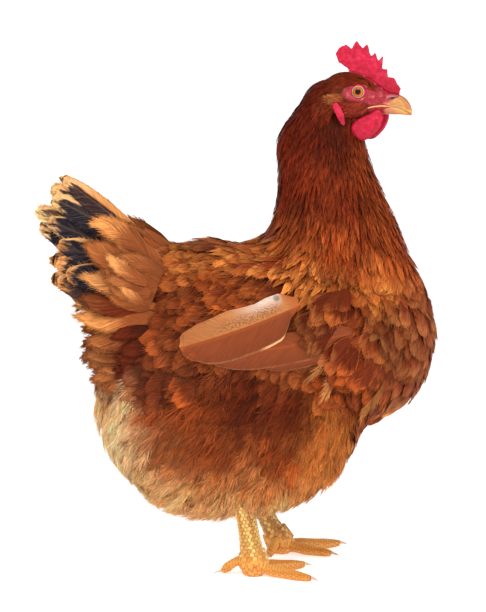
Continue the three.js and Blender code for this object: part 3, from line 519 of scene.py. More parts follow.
# The tail's core: for each station the top and bottom (x, z), half width, how low the widest place lies,
# roundness.
TAIL_CORE = (
    ((-40, 278), (-52, 170), 44, 0, 1),
    ((-66, 282), (-78, 176), 42, 0, 1),
    ((-88, 290), (-104, 188), 34, 0, 1),
    ((-106, 298), (-120, 208), 20, 0, 1),
    ((-114, 300), (-126, 226), 8, 0, 1),
)


def loft_at(stations, s, turn):
    """Points of a lofted form: s runs over the stations, turn is 0 on top and positive towards +Y."""
    table = np.array([[*top, *bottom, half, low, rnd] for top, bottom, half, low, rnd in stations], float)
    ends = np.vstack([2 * table[0] - table[1], table, 2 * table[-1] - table[-2]])
    k = np.clip(np.floor(s).astype(int), 0, len(table) - 2)
    t = (s - k)[..., None]
    row = through(*(ends[k + i] for i in range(4)), t)
    low, rnd = row[..., 5], np.clip(row[..., 6], 0.5, 1)
    along = np.sign(np.cos(turn)) * np.abs(np.cos(turn)) ** rnd
    up = along - low * (1 - along**2)
    down = ((1 - up) / 2)[..., None]
    spine = row[..., 0:2] * (1 - down) + row[..., 2:4] * down
    across = row[..., 4] * np.sign(np.sin(turn)) * np.abs(np.sin(turn)) ** rnd
    return np.stack([spine[..., 0], across, spine[..., 1]], axis=-1)


def loft_grid(stations, rings, sides):
    """A closed lofted form as points and faces."""
    s = np.linspace(0, len(stations) - 1, rings)[:, None] + np.zeros(sides)
    turn = full_turn(sides)[None] + np.zeros((rings, 1))
    points = loft_at(stations, s, turn).reshape(-1, 3)
    points = np.vstack([points, points[:sides].mean(0), points[-sides:].mean(0)])
    return points, tube_quads(rings, sides), end_caps(rings, sides)


# The head, in its own frame (see head_to_hen).
HEAD = (
    ((-11, 9), (-10, -6), 6, 0, 1),
    ((-7, 17), (-8, -16), 12, 0, 1),
    ((2, 22.5), (2, -19), 15.5, 0, 0.98),
    ((12, 24), (12, -18), 15.5, 0, 0.96),
    ((22, 21.5), (22, -15), 14.2, 0, 0.95),
    ((32, 15.5), (32, -12.5), 11, 0, 0.95),
    ((41, 8.5), (41, -11.5), 8.2, 0, 0.95),
    ((46, 5.5), (45, -11), 6, 0, 1),
)
BEAK_UPPER = (
    ((38, 6.5), (36, -5.6), 7.4, 0.3, 0.85),
    ((46, 6.2), (44, -5.8), 7, 0.35, 0.85),
    ((53, 4.6), (52, -6.8), 5.6, 0.35, 0.85),
    ((59, 1.2), (58, -8.8), 4.1, 0.35, 0.9),
    ((63, -4), (62, -11), 2.4, 0.2, 1),
    ((64.8, -10), (64, -13), 0.8, 0, 1),
)
BEAK_LOWER = (
    ((34, -4.6), (35, -12.2), 6.4, -0.2, 0.9),
    ((44, -4.8), (44, -12.4), 6, -0.2, 0.9),
    ((52, -5.8), (51, -12.4), 4.6, -0.2, 0.9),
    ((57, -8), (56.5, -12.6), 3, -0.1, 0.95),
    ((63.4, -11.4), (63.2, -13.2), 1.4, 0, 1),
)

# The throat between jaw and neck, in the head's frame.
THROAT = (
    ((0, -2), (22, -6), 7, 0, 1),
    ((-6, -10), (27, -14), 11, 0, 1),
    ((-8, -22), (27, -24), 12, 0, 1),
    ((-12, -40), (25, -38), 15, 0, 1),
    ((-14, -54), (22, -50), 12, 0, 1),
)

# The nape between crown and neck, in the head's frame.
NAPE = (
    ((4, 20), (6, -8), 9, 0, 1),
    ((-6, 19.5), (0, -12), 12, 0, 1),
    ((-17, 13.5), (-6, -20), 13, 0, 1),
    ((-27, 4.5), (-12, -28), 14, 0, 1),
    ((-34, -6), (-16, -36), 14, 0, 1),
    ((-38, -16), (-18, -42), 11, 0, 1),
)


def form_of(name, stations, of_head=False):
    points, quads, tris = loft_grid(stations, 16, 24)
    return bare_mesh(name, head_to_hen(points) if of_head else points, quads, tris)


# Where the coat's outer form is trimmed: place (x, |y|, z), radius, how far out.
TRIMS = (
    ((62, 5, 414), 14, 2.6),
    ((28, 0, 364), 16, 4.0),
    ((46, 0, 385), 20, 1.5),
    ((9, 0, 286), 21, -8.5),
    ((21, 0, 312), 20, -2.0),
    ((-50, 0, 48), 46, -8.0),
    ((20, 40, 46), 30, -5.0),
    ((54, 40, 62), 22, -4.0),
    ((92, 30, 98), 16, 3.0),
    ((108, 20, 120), 24, -11.0),
    ((74, 66, 84), 16, 4.0),
    ((146, 0, 152), 26, 3.0),
    ((158, 0, 184), 34, 2.5),
    ((136, 0, 146), 26, 2.0),
    ((-36, 0, 284), 34, 2.5),
    ((-110, 0, 110), 34, 4.0),
    ((-118, 0, 150), 26, 2.5),
    ((142, 0, 268), 22, -2.5),
    ((112, 0, 325), 32, 1.0),
)


def trimmed(points):
    total = np.zeros(len(points))
    for at, radius, out in TRIMS:
        total += out * np.exp(-((folded(points) - at) ** 2).sum(1) / radius**2)
    return total


def head_inside(points):
    """1 where the body's skin runs on under the head's own shell, 0 below the jaw and behind the nape."""
    own = hen_to_head(points)
    return smoothstep(-9, -3, own[:, 0]) * smoothstep(-18, -12, own[:, 2])


def body_skin():
    """The outer form of the coat, and the skin that lies inside it by the coat's depth."""
    meshes = solids("torso", "neck_lower", "neck_upper", "thigh_left", "thigh_right", "head")
    meshes += [form_of("tail_core", TAIL_CORE), form_of("throat", THROAT, True), form_of("nape", NAPE, True)]
    outer = remeshed("body", meshes, 3.0, 9)
    points, triangles, normals = arrays_of(outer)
    lie = Bed(points, triangles, GUIDES).lie(points)
    form = points + normals * (wing_pillow(points) + trimmed(points))[:, None]
    sunk = lie.deep * smoothstep(48, 80, points[:, 2]) + 0.5 + 2.0 * head_inside(points)
    return form, form - normals * sunk[:, None], normals, quads_of(outer), triangles, lie


form, skin, form_normals, skin_quads, skin_triangles, skin_lie = body_skin()
BODY = Bed(skin, skin_triangles, GUIDES)
FORM = Bed(form, skin_triangles, GUIDES)
# The form raised over the wing, where the coverts lie over the quills.
wing_rise = 0.8 + 2.0 * smoothstep(182, 212, form[:, 2:])
WING_TOP = Bed(form + form_normals * wing_rise, skin_triangles, GUIDES)


# ---------------------------------------------------------------- feathers

# The steps to a cell's neighbours along an axis, and to itself.
AROUND = (-1, 0, 1)


def scatter(bed, count, seed, spacing, wanted):
    """Places spread over a bed with about spacing(lie) between them, where wanted(places) is true."""
    rng = np.random.default_rng(seed)
    a, b, c = (bed.points[bed.triangles[:, k]] for k in range(3))
    area = np.linalg.norm(np.cross(b - a, c - a), axis=1)
    pick = rng.choice(len(area), count, p=area / area.sum())
    u, v = rng.random(count), rng.random(count)
    flip = u + v > 1
    u[flip], v[flip] = 1 - u[flip], 1 - v[flip]
    places = a[pick] + (b - a)[pick] * u[:, None] + (c - a)[pick] * v[:, None]
    places = places[wanted(places)]
    gaps = spacing(bed.lie(places))
    cell = float(gaps.max())
    taken = {}
    kept = []
    for i, (p, gap) in enumerate(zip(places, gaps)):
        x, y, z = (int(math.floor(t / cell)) for t in p)
        cells_near = ((x + dx, y + dy, z + dz) for dx in AROUND for dy in AROUND for dz in AROUND)
        near = (q for at in cells_near for q in taken.get(at, ()))
        if all((p[0] - q[0]) ** 2 + (p[1] - q[1]) ** 2 + (p[2] - q[2]) ** 2 >= gap * gap for q in near):
            taken.setdefault((x, y, z), []).append(p)
            kept.append(i)
    return places[kept]


def spines(bed, roots, ways, lengths, rows):
    """Lines that run over a surface from each root: their points and the surface's normals there."""
    at = np.empty((len(roots), rows, 3))
    up = np.empty((len(roots), rows, 3))
    for i in range(len(roots)):
        p, way = Vector(roots[i]), Vector(ways[i])
        step = lengths[i] / (rows - 1)
        for k in range(rows):
            spot, normal, _, _ = bed.tree.find_nearest(p)
            way = (way - normal * way.dot(normal)).normalized()
            at[i, k], up[i, k] = spot, normal
            p = spot + way * step
    for _ in range(2):
        up[:, 1:-1] = (up[:, :-2] + up[:, 1:-1] * 2 + up[:, 2:]) / 4
    return at, unit(up)


def along_of(at):
    """The way lines of points run, at each point."""
    ways = [at[:, 1:2] - at[:, :1], at[:, 2:] - at[:, :-2], at[:, -1:] - at[:, -2:-1]]
    return unit(np.concatenate(ways, axis=1))


def joined(of_vane, of_barbs):
    return np.concatenate([of_vane.reshape(-1, of_vane.shape[-1]), of_barbs.reshape(-1, of_barbs.shape[-1])])


class Feathers:
    """Many closed vanes with the same rows and columns, and fine barbs that stand out past their rims.

    at, up: spine points and the way out, (count, rows, 3). half: half widths, (count, rows). camber: how far
    the edges drop, as a share of the half width. thick: how thick the middle is. ragged: how far the columns
    end apart, as a share of the length. webs: the widths of the two webs as shares of half.
    """

    def __init__(self, at, up, half, columns, camber, thick, ragged, rng, webs=(1.0, 1.0)):
        count, rows, _ = at.shape
        self.count, self.rows, self.ring = count, rows, columns + 1
        self.along = along_of(at)
        self.side = unit(np.cross(up, self.along))
        self.up = up
        v = np.linspace(-1, 1, columns)
        u = np.linspace(0, 1, rows)
        self.long = np.linalg.norm(at[:, -1] - at[:, 0], axis=1)
        long = self.long[:, None, None]
        reach = half[:, :, None] * v * np.where(v < 0, *webs)
        drop = camber * np.abs(reach) * np.abs(v)
        top = at[:, :, None] + self.side[:, :, None] * reach[..., None] - up[:, :, None] * drop[..., None]
        uneven = rng.normal(0, 1, (count, 1, columns)) * smoothstep(0.45, 1, u)[None, :, None] * ragged
        sweep = 0.5 * half[:, :, None] * v**2 * smoothstep(0.4, 1.0, u)[None, :, None]
        self.top = top + self.along[:, :, None] * (uneven * long - sweep)[..., None]
        self.under = (at - up * (thick * np.array([1] * (rows - 1) + [0.3]))[None, :, None])[:, :, None]
        self.u, self.v = u, v
        self.wide = half.max(1)
        self.seed = rng.random(count)
        self.root = at[:, 0]

    def add_barbs(self, barbs, rng, reach, thick=0.26):
        """Fine tapered barbs from inside the rim outwards, most of them round the tip."""
        s = 2 * (np.arange(barbs)[None] + rng.random((self.count, barbs))) / barbs - 1
        v = np.sign(s) * np.minimum(np.abs(s) * 1.9, 0.9)
        u = 0.965 - 0.75 * np.maximum(np.abs(s) - 0.42, 0)
        row = np.clip(u * (self.rows - 1), 0, self.rows - 1.001)
        column = np.clip((v + 1) / 2 * (len(self.v) - 1), 0, len(self.v) - 1.001)
        n = np.arange(self.count)[:, None]
        i, j = row.astype(int), column.astype(int)
        f, g = (row - i)[..., None], (column - j)[..., None]
        base = (self.top[n, i, j] * (1 - f) + self.top[n, i + 1, j] * f) * (1 - g)
        base += (self.top[n, i, j + 1] * (1 - f) + self.top[n, i + 1, j + 1] * f) * g
        along, side, up = self.along[n, i], self.side[n, i], self.up[n, i]
        angle = (np.sign(s) * (0.10 + 0.55 * np.abs(s)) + rng.normal(0, 0.13, s.shape))[..., None]
        way = along * np.cos(angle) + side * np.sin(angle)
        across = np.cross(up, way)
        length = (reach * self.long[:, None] * rng.uniform(0.5, 1.25, s.shape))[..., None]
        fall = rng.normal(0.0, 0.05, s.shape)[..., None] - 0.02
        tip = base + way * length + up * (length * fall)
        thin = thick * rng.uniform(0.7, 1.2, s.shape)[..., None]
        lifted = base + up * 0.05
        corners = [lifted + across * thin, lifted - across * thin, lifted - up * thin * 1.2, tip]
        self.barb_points = np.stack(corners, axis=2).reshape(self.count, -1, 3)
        far = np.repeat(u[..., None], 4, axis=2)
        far[..., 3] = np.minimum(far[..., 3] + reach, 1.05)
        lie = np.stack([far, np.repeat(v[..., None], 4, axis=2), np.zeros(far.shape)], axis=3)
        self.barb_lie = lie.reshape(self.count, -1, 3)
        self.barbs = barbs

    def each(self, values):
        """One value of each feather at all its points."""
        points_of = (self.rows * self.ring, self.barbs * 4)
        return np.concatenate([np.repeat(values, points, axis=0) for points in points_of])

    def faces(self):
        ring, rows = self.ring, self.rows
        last = (rows - 1) * ring
        k = np.arange(1, ring - 1)
        root = np.stack([0 * k, k, k + 1], axis=1)
        tip = np.stack([0 * k + last, last + k + 1, last + k], axis=1)
        start = (np.arange(self.count) * rows * ring)[:, None, None]
        quads = (tube_quads(rows, ring)[None] + start).reshape(-1, 4)
        tris = (np.concatenate([root, tip])[None] + start).reshape(-1, 3)
        barb = np.array([(0, 1, 3), (1, 2, 3), (2, 0, 3), (0, 2, 1)])
        start = self.count * rows * ring + (np.arange(self.count * self.barbs) * 4)[:, None, None]
        return quads, np.concatenate([tris, (barb[None] + start).reshape(-1, 3)])

    def piece(self, name, middle, tip, marks=None):
        vane = np.concatenate([self.top, self.under], axis=2)
        shape = (self.count, self.rows, self.ring)
        u = np.broadcast_to(self.u[None, :, None], shape)
        v = np.broadcast_to(np.append(self.v, 0.0)[None, None], shape)
        lie = joined(np.stack([u, v, 0 * u], axis=3), self.barb_lie)
        long, wide, seed = (self.each(value[:, None])[:, 0] for value in (self.long, self.wide, self.seed))
        lie[:, 2] = seed
        span = np.stack([lie[:, 0] * long, lie[:, 1] * wide, seed * 40], axis=1)
        patch = np.clip(np.stack([lie[:, 0] - 0.5, lie[:, 1] / 2], axis=1), -0.5, 0.5)
        quads, tris = self.faces()
        colours = {"tint": self.each(middle), "fringe": self.each(tip)}
        if marks is not None:
            colours["mark"] = self.each(marks)
        piece = mesh_piece(
            name,
            joined(vane, self.barb_points),
            quads,
            tris,
            colours=colours,
            vectors={"lie": lie, "span": span},
            uv=np.clip(self.each(unwrap(self.root)) + 0.003 * patch, 0.001, 0.999),
        )
        sharpen_borders(piece.data, self.count * self.rows * self.ring, self.rows, self.ring)
        return piece


def varied(colours, rng, bright=0.14, warm=0.06, places=None, patchy=1.0):
    """Colours with a difference in brightness and warmth from feather to feather, and from patch to patch."""
    shade = np.exp(rng.normal(0, bright, (len(colours), 1)))
    if places is not None:
        patches = 0.32 * value_noise(places, 26.0, 3) + 0.20 * value_noise(places, 11.0, 4)
        shade *= np.exp(patchy * patches)[:, None]
    hue = rng.normal(0, warm, (len(colours), 1)) * np.array([[0.6, 0.0, -1.0]])
    return np.clip(colours * shade * (1 + hue), 0.002, 0.95)


# Kinds of vane. shape: half widths from root to tip, as shares of the widest. columns: points across.
# camber: how far the edges drop. ragged: how uneven the tip is. barbs, reach: how many stand out past the
# rim, and how far. rise_to: how high the tips rise, as a share of the coat's depth. bright: how much the
# feathers differ in brightness. stretch: the length, as a share of the guides'.
CONTOUR_VANE = {
    "shape": (0.30, 0.60, 0.82, 0.94, 1.0, 1.0, 0.97, 0.86, 0.56),
    "columns": 5, "camber": 0.16, "ragged": 0.05, "barbs": 22, "reach": 0.2,
}
HACKLE_VANE = {
    "shape": (0.50, 0.85, 1.0, 0.95, 0.8, 0.52, 0.10),
    "columns": 3, "camber": 0.15, "ragged": 0.03, "barbs": 5, "reach": 0.16, "bright": 0.24,
}
LOOSE_VANE = {
    "shape": (0.30, 0.55, 0.72, 0.80, 0.80, 0.72, 0.58, 0.38, 0.12),
    "columns": 3, "camber": 0.2, "ragged": 0.06, "barbs": 12, "reach": 0.2, "rise_to": 0.55, "bright": 0.1,
}
SHORT_VANE = {
    "shape": (0.6, 0.95, 1.0, 0.8, 0.35),
    "columns": 3, "camber": 0.2, "ragged": 0.05, "barbs": 4, "reach": 0.25, "bright": 0.3,
}
BRISTLE_VANE = {
    "shape": (0.12, 0.10, 0.06),
    "columns": 3, "camber": 0.2, "ragged": 0.05, "barbs": 2, "reach": 0.3, "bright": 0.3, "stretch": 0.45,
}


def coat(
    name, bed, roots, seed, material, slot,
    shape, columns, camber, ragged, barbs, reach, rise_to=1.0, bright=0.14, stretch=1.0,
):
    """Feathers of one kind, rooted in a bed, whose tips rise to the coat's outer form."""
    rng = np.random.default_rng(seed)
    lie = bed.lie(roots)
    count, rows = len(roots), len(shape)
    lengths = lie.long * stretch * rng.uniform(0.85, 1.15, count)
    turn = rng.normal(0, 0.10, (count, 1))
    across = np.cross(lie.way, unit(roots - bed.points.mean(0)))
    ways = unit(lie.way + across * turn)
    at, up = spines(bed, roots, ways, lengths, rows)
    u = np.linspace(0, 1, rows)
    rise = smoothstep(-0.35, 1.0, u) - smoothstep(-0.35, 1.0, 0)
    rise = (rise / rise[-1])[None] * rng.uniform(0.75, 1.18, (count, 1)) * rise_to
    height = lie.deep[:, None] * (rise - 0.1 * (1 - u)[None])
    roll = rng.normal(0, 0.10, (count, 1, 1))
    at = at + up * height[..., None]
    up = unit(up + np.cross(along_of(at), up) * roll)
    half = np.array(shape)[None] * (lie.wide / 2 * rng.uniform(0.85, 1.15, count))[:, None]
    half = half * (1 + rng.normal(0, 0.05, half.shape))
    feathers = Feathers(at, up, half, columns, camber, 0.035 * lie.deep.mean(), ragged, rng)
    feathers.add_barbs(barbs, rng, reach, 0.26 * min(1.0, lie.wide.mean() / 8))
    middle = varied(lie.middle, rng, bright, places=roots)
    tip = lerp(middle, varied(lie.tip, rng, 0.12, places=roots), rng.uniform(0.3, 1.0, (count, 1)))
    return finished(feathers.piece(name, middle, tip), material, slot)


# The half thickness of a strand of down at its root, in millimetres.
STRAND = 0.34


def plumes(name, bed, roots, strands, seed, spread=0.5, tones=None, rise=1.0):
    """A spray of fine tapered strands from each root. tones: colours in place of the guides'."""
    rng = np.random.default_rng(seed)
    lie = bed.lie(roots)
    if tones:
        lie.middle, lie.tip = (np.repeat(COLOUR[tone][None], len(roots), axis=0) for tone in tones)
    count, rows = len(roots), 5
    lengths = lie.long * rng.uniform(0.7, 1.15, count)
    ways = unit(lie.way + rng.normal(0, 0.12, (count, 3)))
    at, up = spines(bed, roots, ways, lengths, rows)
    u = np.linspace(0, 1, rows)
    at = at + up * (rise * lie.deep[:, None] * u[None] ** 0.8 * rng.uniform(0.55, 1.2, (count, 1)))[..., None]
    way, side = along_of(at), unit(np.cross(up, along_of(at)))
    first = rng.uniform(0.0, 0.5, (count, strands))
    fan = np.linspace(-1, 1, strands)[None] + rng.normal(0, 0.12, (count, strands))
    reach = (1 - np.abs(fan) * 0.35) * rng.uniform(0.8, 1.1, (count, strands))
    centres = []
    for t in (0.0, 0.55, 1.0):
        here = first + (np.clip(reach, 0.3, 1.05) - first) * t
        k = np.clip(here * (rows - 1), 0, rows - 1.001)
        i = k.astype(int)
        f = (k - i)[..., None]
        n = np.arange(count)[:, None]
        centre = at[n, i] * (1 - f) + at[n, i + 1] * f
        over = np.maximum(here - 1, 0)[..., None] * lengths[:, None, None]
        sideways = fan * lie.wide[:, None] * spread * t**1.3
        droop = rng.normal(0.1, 1.1, (count, strands)) * t**2
        centre = centre + way[n, i] * over + side[n, i] * sideways[..., None] + up[n, i] * droop[..., None]
        centres.append(centre)
    total = count * strands
    centres = np.stack(centres, axis=2).reshape(total, 3, 3)
    normals = np.repeat(up.mean(1), strands, axis=0)[:, None]
    strand_side = unit(np.cross(normals, along_of(centres)))[:, :2]
    size = STRAND * rng.uniform(0.8, 1.25, (total, 1, 1))
    ring = centres[:, :2]
    corners = [ring + strand_side * size, ring - strand_side * size, ring + normals * size * 0.8]
    body = np.stack(corners, axis=2).reshape(total, 6, 3)
    points = np.concatenate([body, centres[:, 2:]], axis=1).reshape(-1, 3)
    quad = [(j, (j + 1) % 3, 3 + (j + 1) % 3, 3 + j) for j in (0, 1, 2)]
    tri = [(0, 2, 1), (3, 4, 6), (4, 5, 6), (5, 3, 6)]
    start = (np.arange(total) * 7)[:, None, None]
    quads = (np.array(quad)[None] + start).reshape(-1, 4)
    tris = (np.array(tri)[None] + start).reshape(-1, 3)
    lie_u = np.tile([0.15, 0.15, 0.15, 0.6, 0.6, 0.6, 1.0], total)
    seed_of = np.repeat(rng.random(total), 7)
    strand_lie = np.stack([lie_u, 0 * lie_u + 0.3, seed_of], axis=1)
    span = np.stack([lie_u * 30, 0 * lie_u + 2, seed_of * 40], axis=1)
    shade = np.exp(rng.normal(0, 0.16, (total, 1)))
    # The strands' middle colour, which shows at their roots, is made 8 % darker: a painted shade among the
    # strands.
    middle = 0.92 * varied(lie.middle, rng, 0.12, 0.03, roots, 0.55)
    tip = varied(lie.tip, rng, 0.18, 0.03, roots, 0.55)
    middle, tip = (np.repeat(np.repeat(part, strands, axis=0) * shade, 7, axis=0) for part in (middle, tip))
    patch = np.stack([lie_u - 0.5, np.repeat(fan.ravel() / 2, 7)], axis=1)
    uv = np.repeat(unwrap(roots), strands * 7, axis=0) + 0.003 * np.clip(patch, -0.5, 0.5)
    piece = mesh_piece(
        name,
        points,
        quads,
        tris,
        colours={"tint": np.clip(middle, 0, 1), "fringe": np.clip(tip, 0, 1)},
        vectors={"lie": strand_lie, "span": span},
        uv=np.clip(uv, 0.001, 0.999),
    )
    return finished(piece, FLUFF, "plumage")


# ---------------------------------------------------------------- materials

class Nodes:
    """A short way to write a material's nodes."""

    def __init__(self, name, **constants):
        self.material = bpy.data.materials.new(name)
        self.material.use_nodes = True
        self.tree = self.material.node_tree
        self.shader = self.tree.nodes["Principled BSDF"]
        for socket, value in constants.items():
            self.shader.inputs[socket.replace("_", " ")].default_value = value

    def add(self, kind, inputs=(), **settings):
        node = self.tree.nodes.new("ShaderNode" + kind)
        for key, value in settings.items():
            setattr(node, key, value)
        for socket, value in dict(inputs).items():
            self.put(node.inputs[socket], value)
        return node

    def put(self, socket, value):
        if isinstance(value, bpy.types.NodeSocket):
            self.tree.links.new(value, socket)
        else:
            socket.default_value = value

    def math(self, operation, *values):
        node = self.add("Math", operation=operation)
        for i, value in enumerate(values):
            self.put(node.inputs[i], value)
        return node.outputs[0]

    def times(self, first, *others):
        for other in others:
            first = self.math("MULTIPLY", first, other)
        return first

    def plus(self, first, *others):
        for other in others:
            first = self.math("ADD", first, other)
        return first

    def swing(self, value, amount):
        """What value, from 0 to 1, adds or takes away round its middle."""
        return self.times(self.math("SUBTRACT", value, 0.5), amount)

    def attribute(self, name, kind="Color"):
        return self.add("Attribute", attribute_name=name).outputs[kind]

    def split(self, vector):
        node = self.add("SeparateXYZ", {0: vector})
        return node.outputs[0], node.outputs[1], node.outputs[2]

    def parts(self, name):
        return self.split(self.attribute(name, "Vector"))

    def join(self, x, y, z):
        return self.add("CombineXYZ", {0: x, 1: y, 2: z}).outputs[0]

    def noise(self, vector, scale, detail, rough):
        inputs = {"Vector": vector, "Scale": scale, "Detail": detail, "Roughness": rough}
        return self.add("TexNoise", inputs).outputs[0]

    def ramp(self, value, low, high, to_low=0.0, to_high=1.0):
        inputs = {0: value, 1: low, 2: high, 3: to_low, 4: to_high}
        return self.add("MapRange", inputs, interpolation_type="SMOOTHSTEP").outputs[0]

    def mix(self, factor, a, b, blend="MIX"):
        """Two colours mixed. Each is a socket or the name of a colour."""
        node = self.add("Mix", data_type="RGBA", blend_type=blend)
        for socket, value in zip((0, 6, 7), (factor, a, b)):
            self.put(node.inputs[socket], (*COLOUR[value], 1.0) if isinstance(value, str) else value)
        return node.outputs[2]

    def shade(self, colour, amount):
        """A colour made darker or lighter by a factor."""
        return self.mix(1.0, colour, self.join(amount, amount, amount), "MULTIPLY")

    def bump(self, height, depth):
        """Raises the surface by a height of 0 to 1, times depth in millimetres."""
        node = self.add("Bump", {"Height": height, "Distance": depth * MM})
        self.put(self.shader.inputs["Normal"], node.outputs[0])

    def grain(self, scale, detail, rough, depth):
        """A grain fixed to the object, that also raises the surface."""
        grain = self.noise(self.add("TexCoord").outputs["Object"], scale, detail, rough)
        self.bump(grain, depth)
        return grain

    def colour(self, socket):
        self.put(self.shader.inputs["Base Color"], socket)


def grained(name, grain, low, high, **constants):
    """A material in the points' own colours, shaded from low to high by a grain."""
    n = Nodes(name, **constants)
    n.colour(n.shade(n.attribute("tint"), n.ramp(n.grain(*grain), 0.3, 0.7, low, high)))
    return n.material


def feather_material(
    name, lace, streak, rough=0.7, sheen=0.02, barb=1.6, fine=0.8, depth=0.4, marks=None,
    gloss=0.07, stem=0.2, rim=0.92,
):
    """Barbs that sweep out from a shaft, and a middle colour that turns into a fringe colour.

    lace: where the fringe starts and is full. streak, fine, depth: how strong, close and deep the barbs are.
    barb: how far they sweep. stem: how plain the shaft is. rim: how far the fringe runs up the edges.
    """
    n = Nodes(name, Roughness=rough, Sheen_Weight=sheen, Sheen_Roughness=0.45, Specular_IOR_Level=gloss)
    u, v, _ = n.parts("lie")
    far, wide, seed = n.parts("span")
    out = n.math("ABSOLUTE", v)
    sweep = n.math("SUBTRACT", far, n.times(n.math("ABSOLUTE", wide), barb))
    side = n.plus(seed, n.times(n.math("SIGN", v), 7.0))
    barbs = n.noise(n.join(n.times(sweep, fine), n.times(wide, 0.10), side), 1.0, 3.0, 0.72)
    patches = n.noise(n.join(n.times(far, 0.10), n.times(wide, 0.15), side), 1.0, 2.0, 0.5)
    edge = n.math("MAXIMUM", u, n.times(n.math("POWER", out, 2.5), rim))
    edge = n.plus(edge, n.swing(patches, 0.5), n.swing(barbs, 0.35))
    fringe = n.attribute("fringe")
    base = n.mix(n.ramp(edge, *lace), n.attribute("tint"), fringe)
    if marks:
        base = marks(n, base, u, v, patches, barbs)
    shaft = n.ramp(out, 0.03, 0.12, 1.0, 0.0)
    base = n.mix(n.times(shaft, stem), base, fringe)
    n.colour(n.shade(base, n.ramp(barbs, 0.32, 0.68, 1 - streak, 1 + streak)))
    n.bump(barbs, depth)
    return n.material


def tail_marks(n, base, u, v, patches, barbs):
    """Dark over the lower web of a tail feather, whose upper web and tip are pale."""
    dark, pale, hand = n.parts("mark")
    wander = n.swing(patches, 0.3)
    over = n.plus(n.times(v, hand), wander)
    along = n.plus(u, wander, n.swing(barbs, 0.1))
    inside = n.times(n.ramp(along, 0.32, 0.44), n.ramp(along, 0.90, 1.0, 1.0, 0.0))
    below = n.ramp(n.plus(over, n.times(pale, 0.32)), 0.84, 1.0, 1.0, 0.0)
    light = n.mix(n.ramp(u, 0.55, 1.0), "buff", "cream")
    base = n.mix(n.times(n.ramp(over, 0.2, 0.7), pale), base, light)
    grey = n.mix(n.times(n.ramp(barbs, 0.45, 0.75), 0.5), "soot", "smoke")
    return n.mix(n.times(inside, below, dark), base, grey)


def quill_marks(n, base, u, v, *_):
    """A paler upper web, white along its upper rim near the root, peppered with brown by the shaft."""
    _, pale, hand = n.parts("mark")
    over = n.times(v, hand)
    web = n.times(n.ramp(over, 0.02, 0.10), pale)
    light = n.mix(n.times(web, n.ramp(u, 0.45, 1.0, 0.55, 0.3)), base, "buff")
    white = n.times(n.ramp(over, 0.25, 0.9), n.ramp(u, 0.6, 0.2), web, n.ramp(u, 0.09, 0.15), 0.65)
    light = n.mix(white, light, "white_web")
    spots = n.noise(n.attribute("span", "Vector"), 0.6, 3.0, 0.8)
    near = n.times(n.ramp(over, 0.08, 0.2), n.ramp(over, 0.85, 0.4))
    along = n.times(n.ramp(u, 0.08, 0.2), n.ramp(u, 0.82, 0.6))
    pepper = n.times(n.ramp(spots, 0.46, 0.56), web, n.times(near, along), 0.7)
    light = n.mix(pepper, light, "pepper")
    off_u = n.math("DIVIDE", n.math("SUBTRACT", u, 0.148), 0.026)
    off_v = n.math("DIVIDE", n.math("SUBTRACT", over, 0.82), 0.15)
    off = n.plus(n.math("POWER", off_u, 2.0), n.math("POWER", off_v, 2.0), n.swing(spots, 4.0))
    light = n.mix(n.times(n.ramp(off, 0.2, 1.6, 0.6, 0.0), pale), light, "soot")
    # Towards the lower rim of the lower web the colour turns partly chestnut: a painted shade.
    light = n.mix(n.times(n.ramp(over, -0.9, -0.2, 1.0, 0.0), 0.3), light, "chestnut")
    light = n.mix(n.times(n.ramp(u, 0.13, 0.04), n.times(pale, 0.6)), light, "amber")
    bright = n.times(n.ramp(u, 0.44, 0.34), n.ramp(u, 0.19, 0.23), pale)
    rim = n.times(n.ramp(over, -0.88, -0.95), n.plus(n.times(bright, 0.65), 0.1))
    return n.mix(rim, light, "cream")


SKIN = grained("hen_skin", (900.0, 4.0, 0.7, 0.8), 0.45, 0.95, Roughness=0.8, Specular_IOR_Level=0.05)
CONTOUR = feather_material("body_feather", (0.58, 1.02), 0.4, barb=2.0, stem=0.12)
LOOSE = feather_material("loose_feather", (0.3, 1.0), 0.5, barb=2.2, fine=0.6, stem=0.0)
COVERT = feather_material("tail_covert", (0.35, 1.05), 0.4, barb=2.6, depth=0.35, stem=0.0, rim=0.6)
TAIL_VANE = feather_material("tail_feather", (0.80, 1.0), 0.24, depth=0.2, marks=tail_marks, stem=0.06)
QUILL = feather_material(
    "wing_quill", (0.97, 1.1), 0.16, rough=0.5, fine=0.9, depth=0.3, marks=quill_marks, gloss=0.15, stem=0.3,
)
HACKLE = feather_material(
    "hackle_feather", (0.35, 1.0), 0.6, rough=0.55, barb=2.8, fine=0.45, gloss=0.06, sheen=0.0,
)
FLUFF = feather_material("fluff", (0.25, 0.95), 0.15, rough=0.9, fine=0.3, depth=0.1, stem=0.0)
HEAD_FEATHER = feather_material("head_feather", (0.2, 1.0), 0.55, rough=0.55, barb=2.8, fine=0.9, depth=0.15)


# ---------------------------------------------------------------- tail and wing feathers

# Kinds of vane, see CONTOUR_VANE.
RECTRIX_VANE = {
    "shape": (0.35, 0.55, 0.72, 0.85, 0.94, 1.0, 1.0, 0.96, 0.82, 0.45),
    "rows": 30, "columns": 9, "camber": 0.10, "ragged": 0.012, "barbs": 50, "reach": 0.06,
}
COVERT_VANE = {
    "shape": (0.30, 0.62, 0.85, 0.97, 1.0, 0.93, 0.74, 0.30),
    "rows": 16, "columns": 7, "camber": 0.3, "ragged": 0.035, "barbs": 170, "reach": 0.11,
}


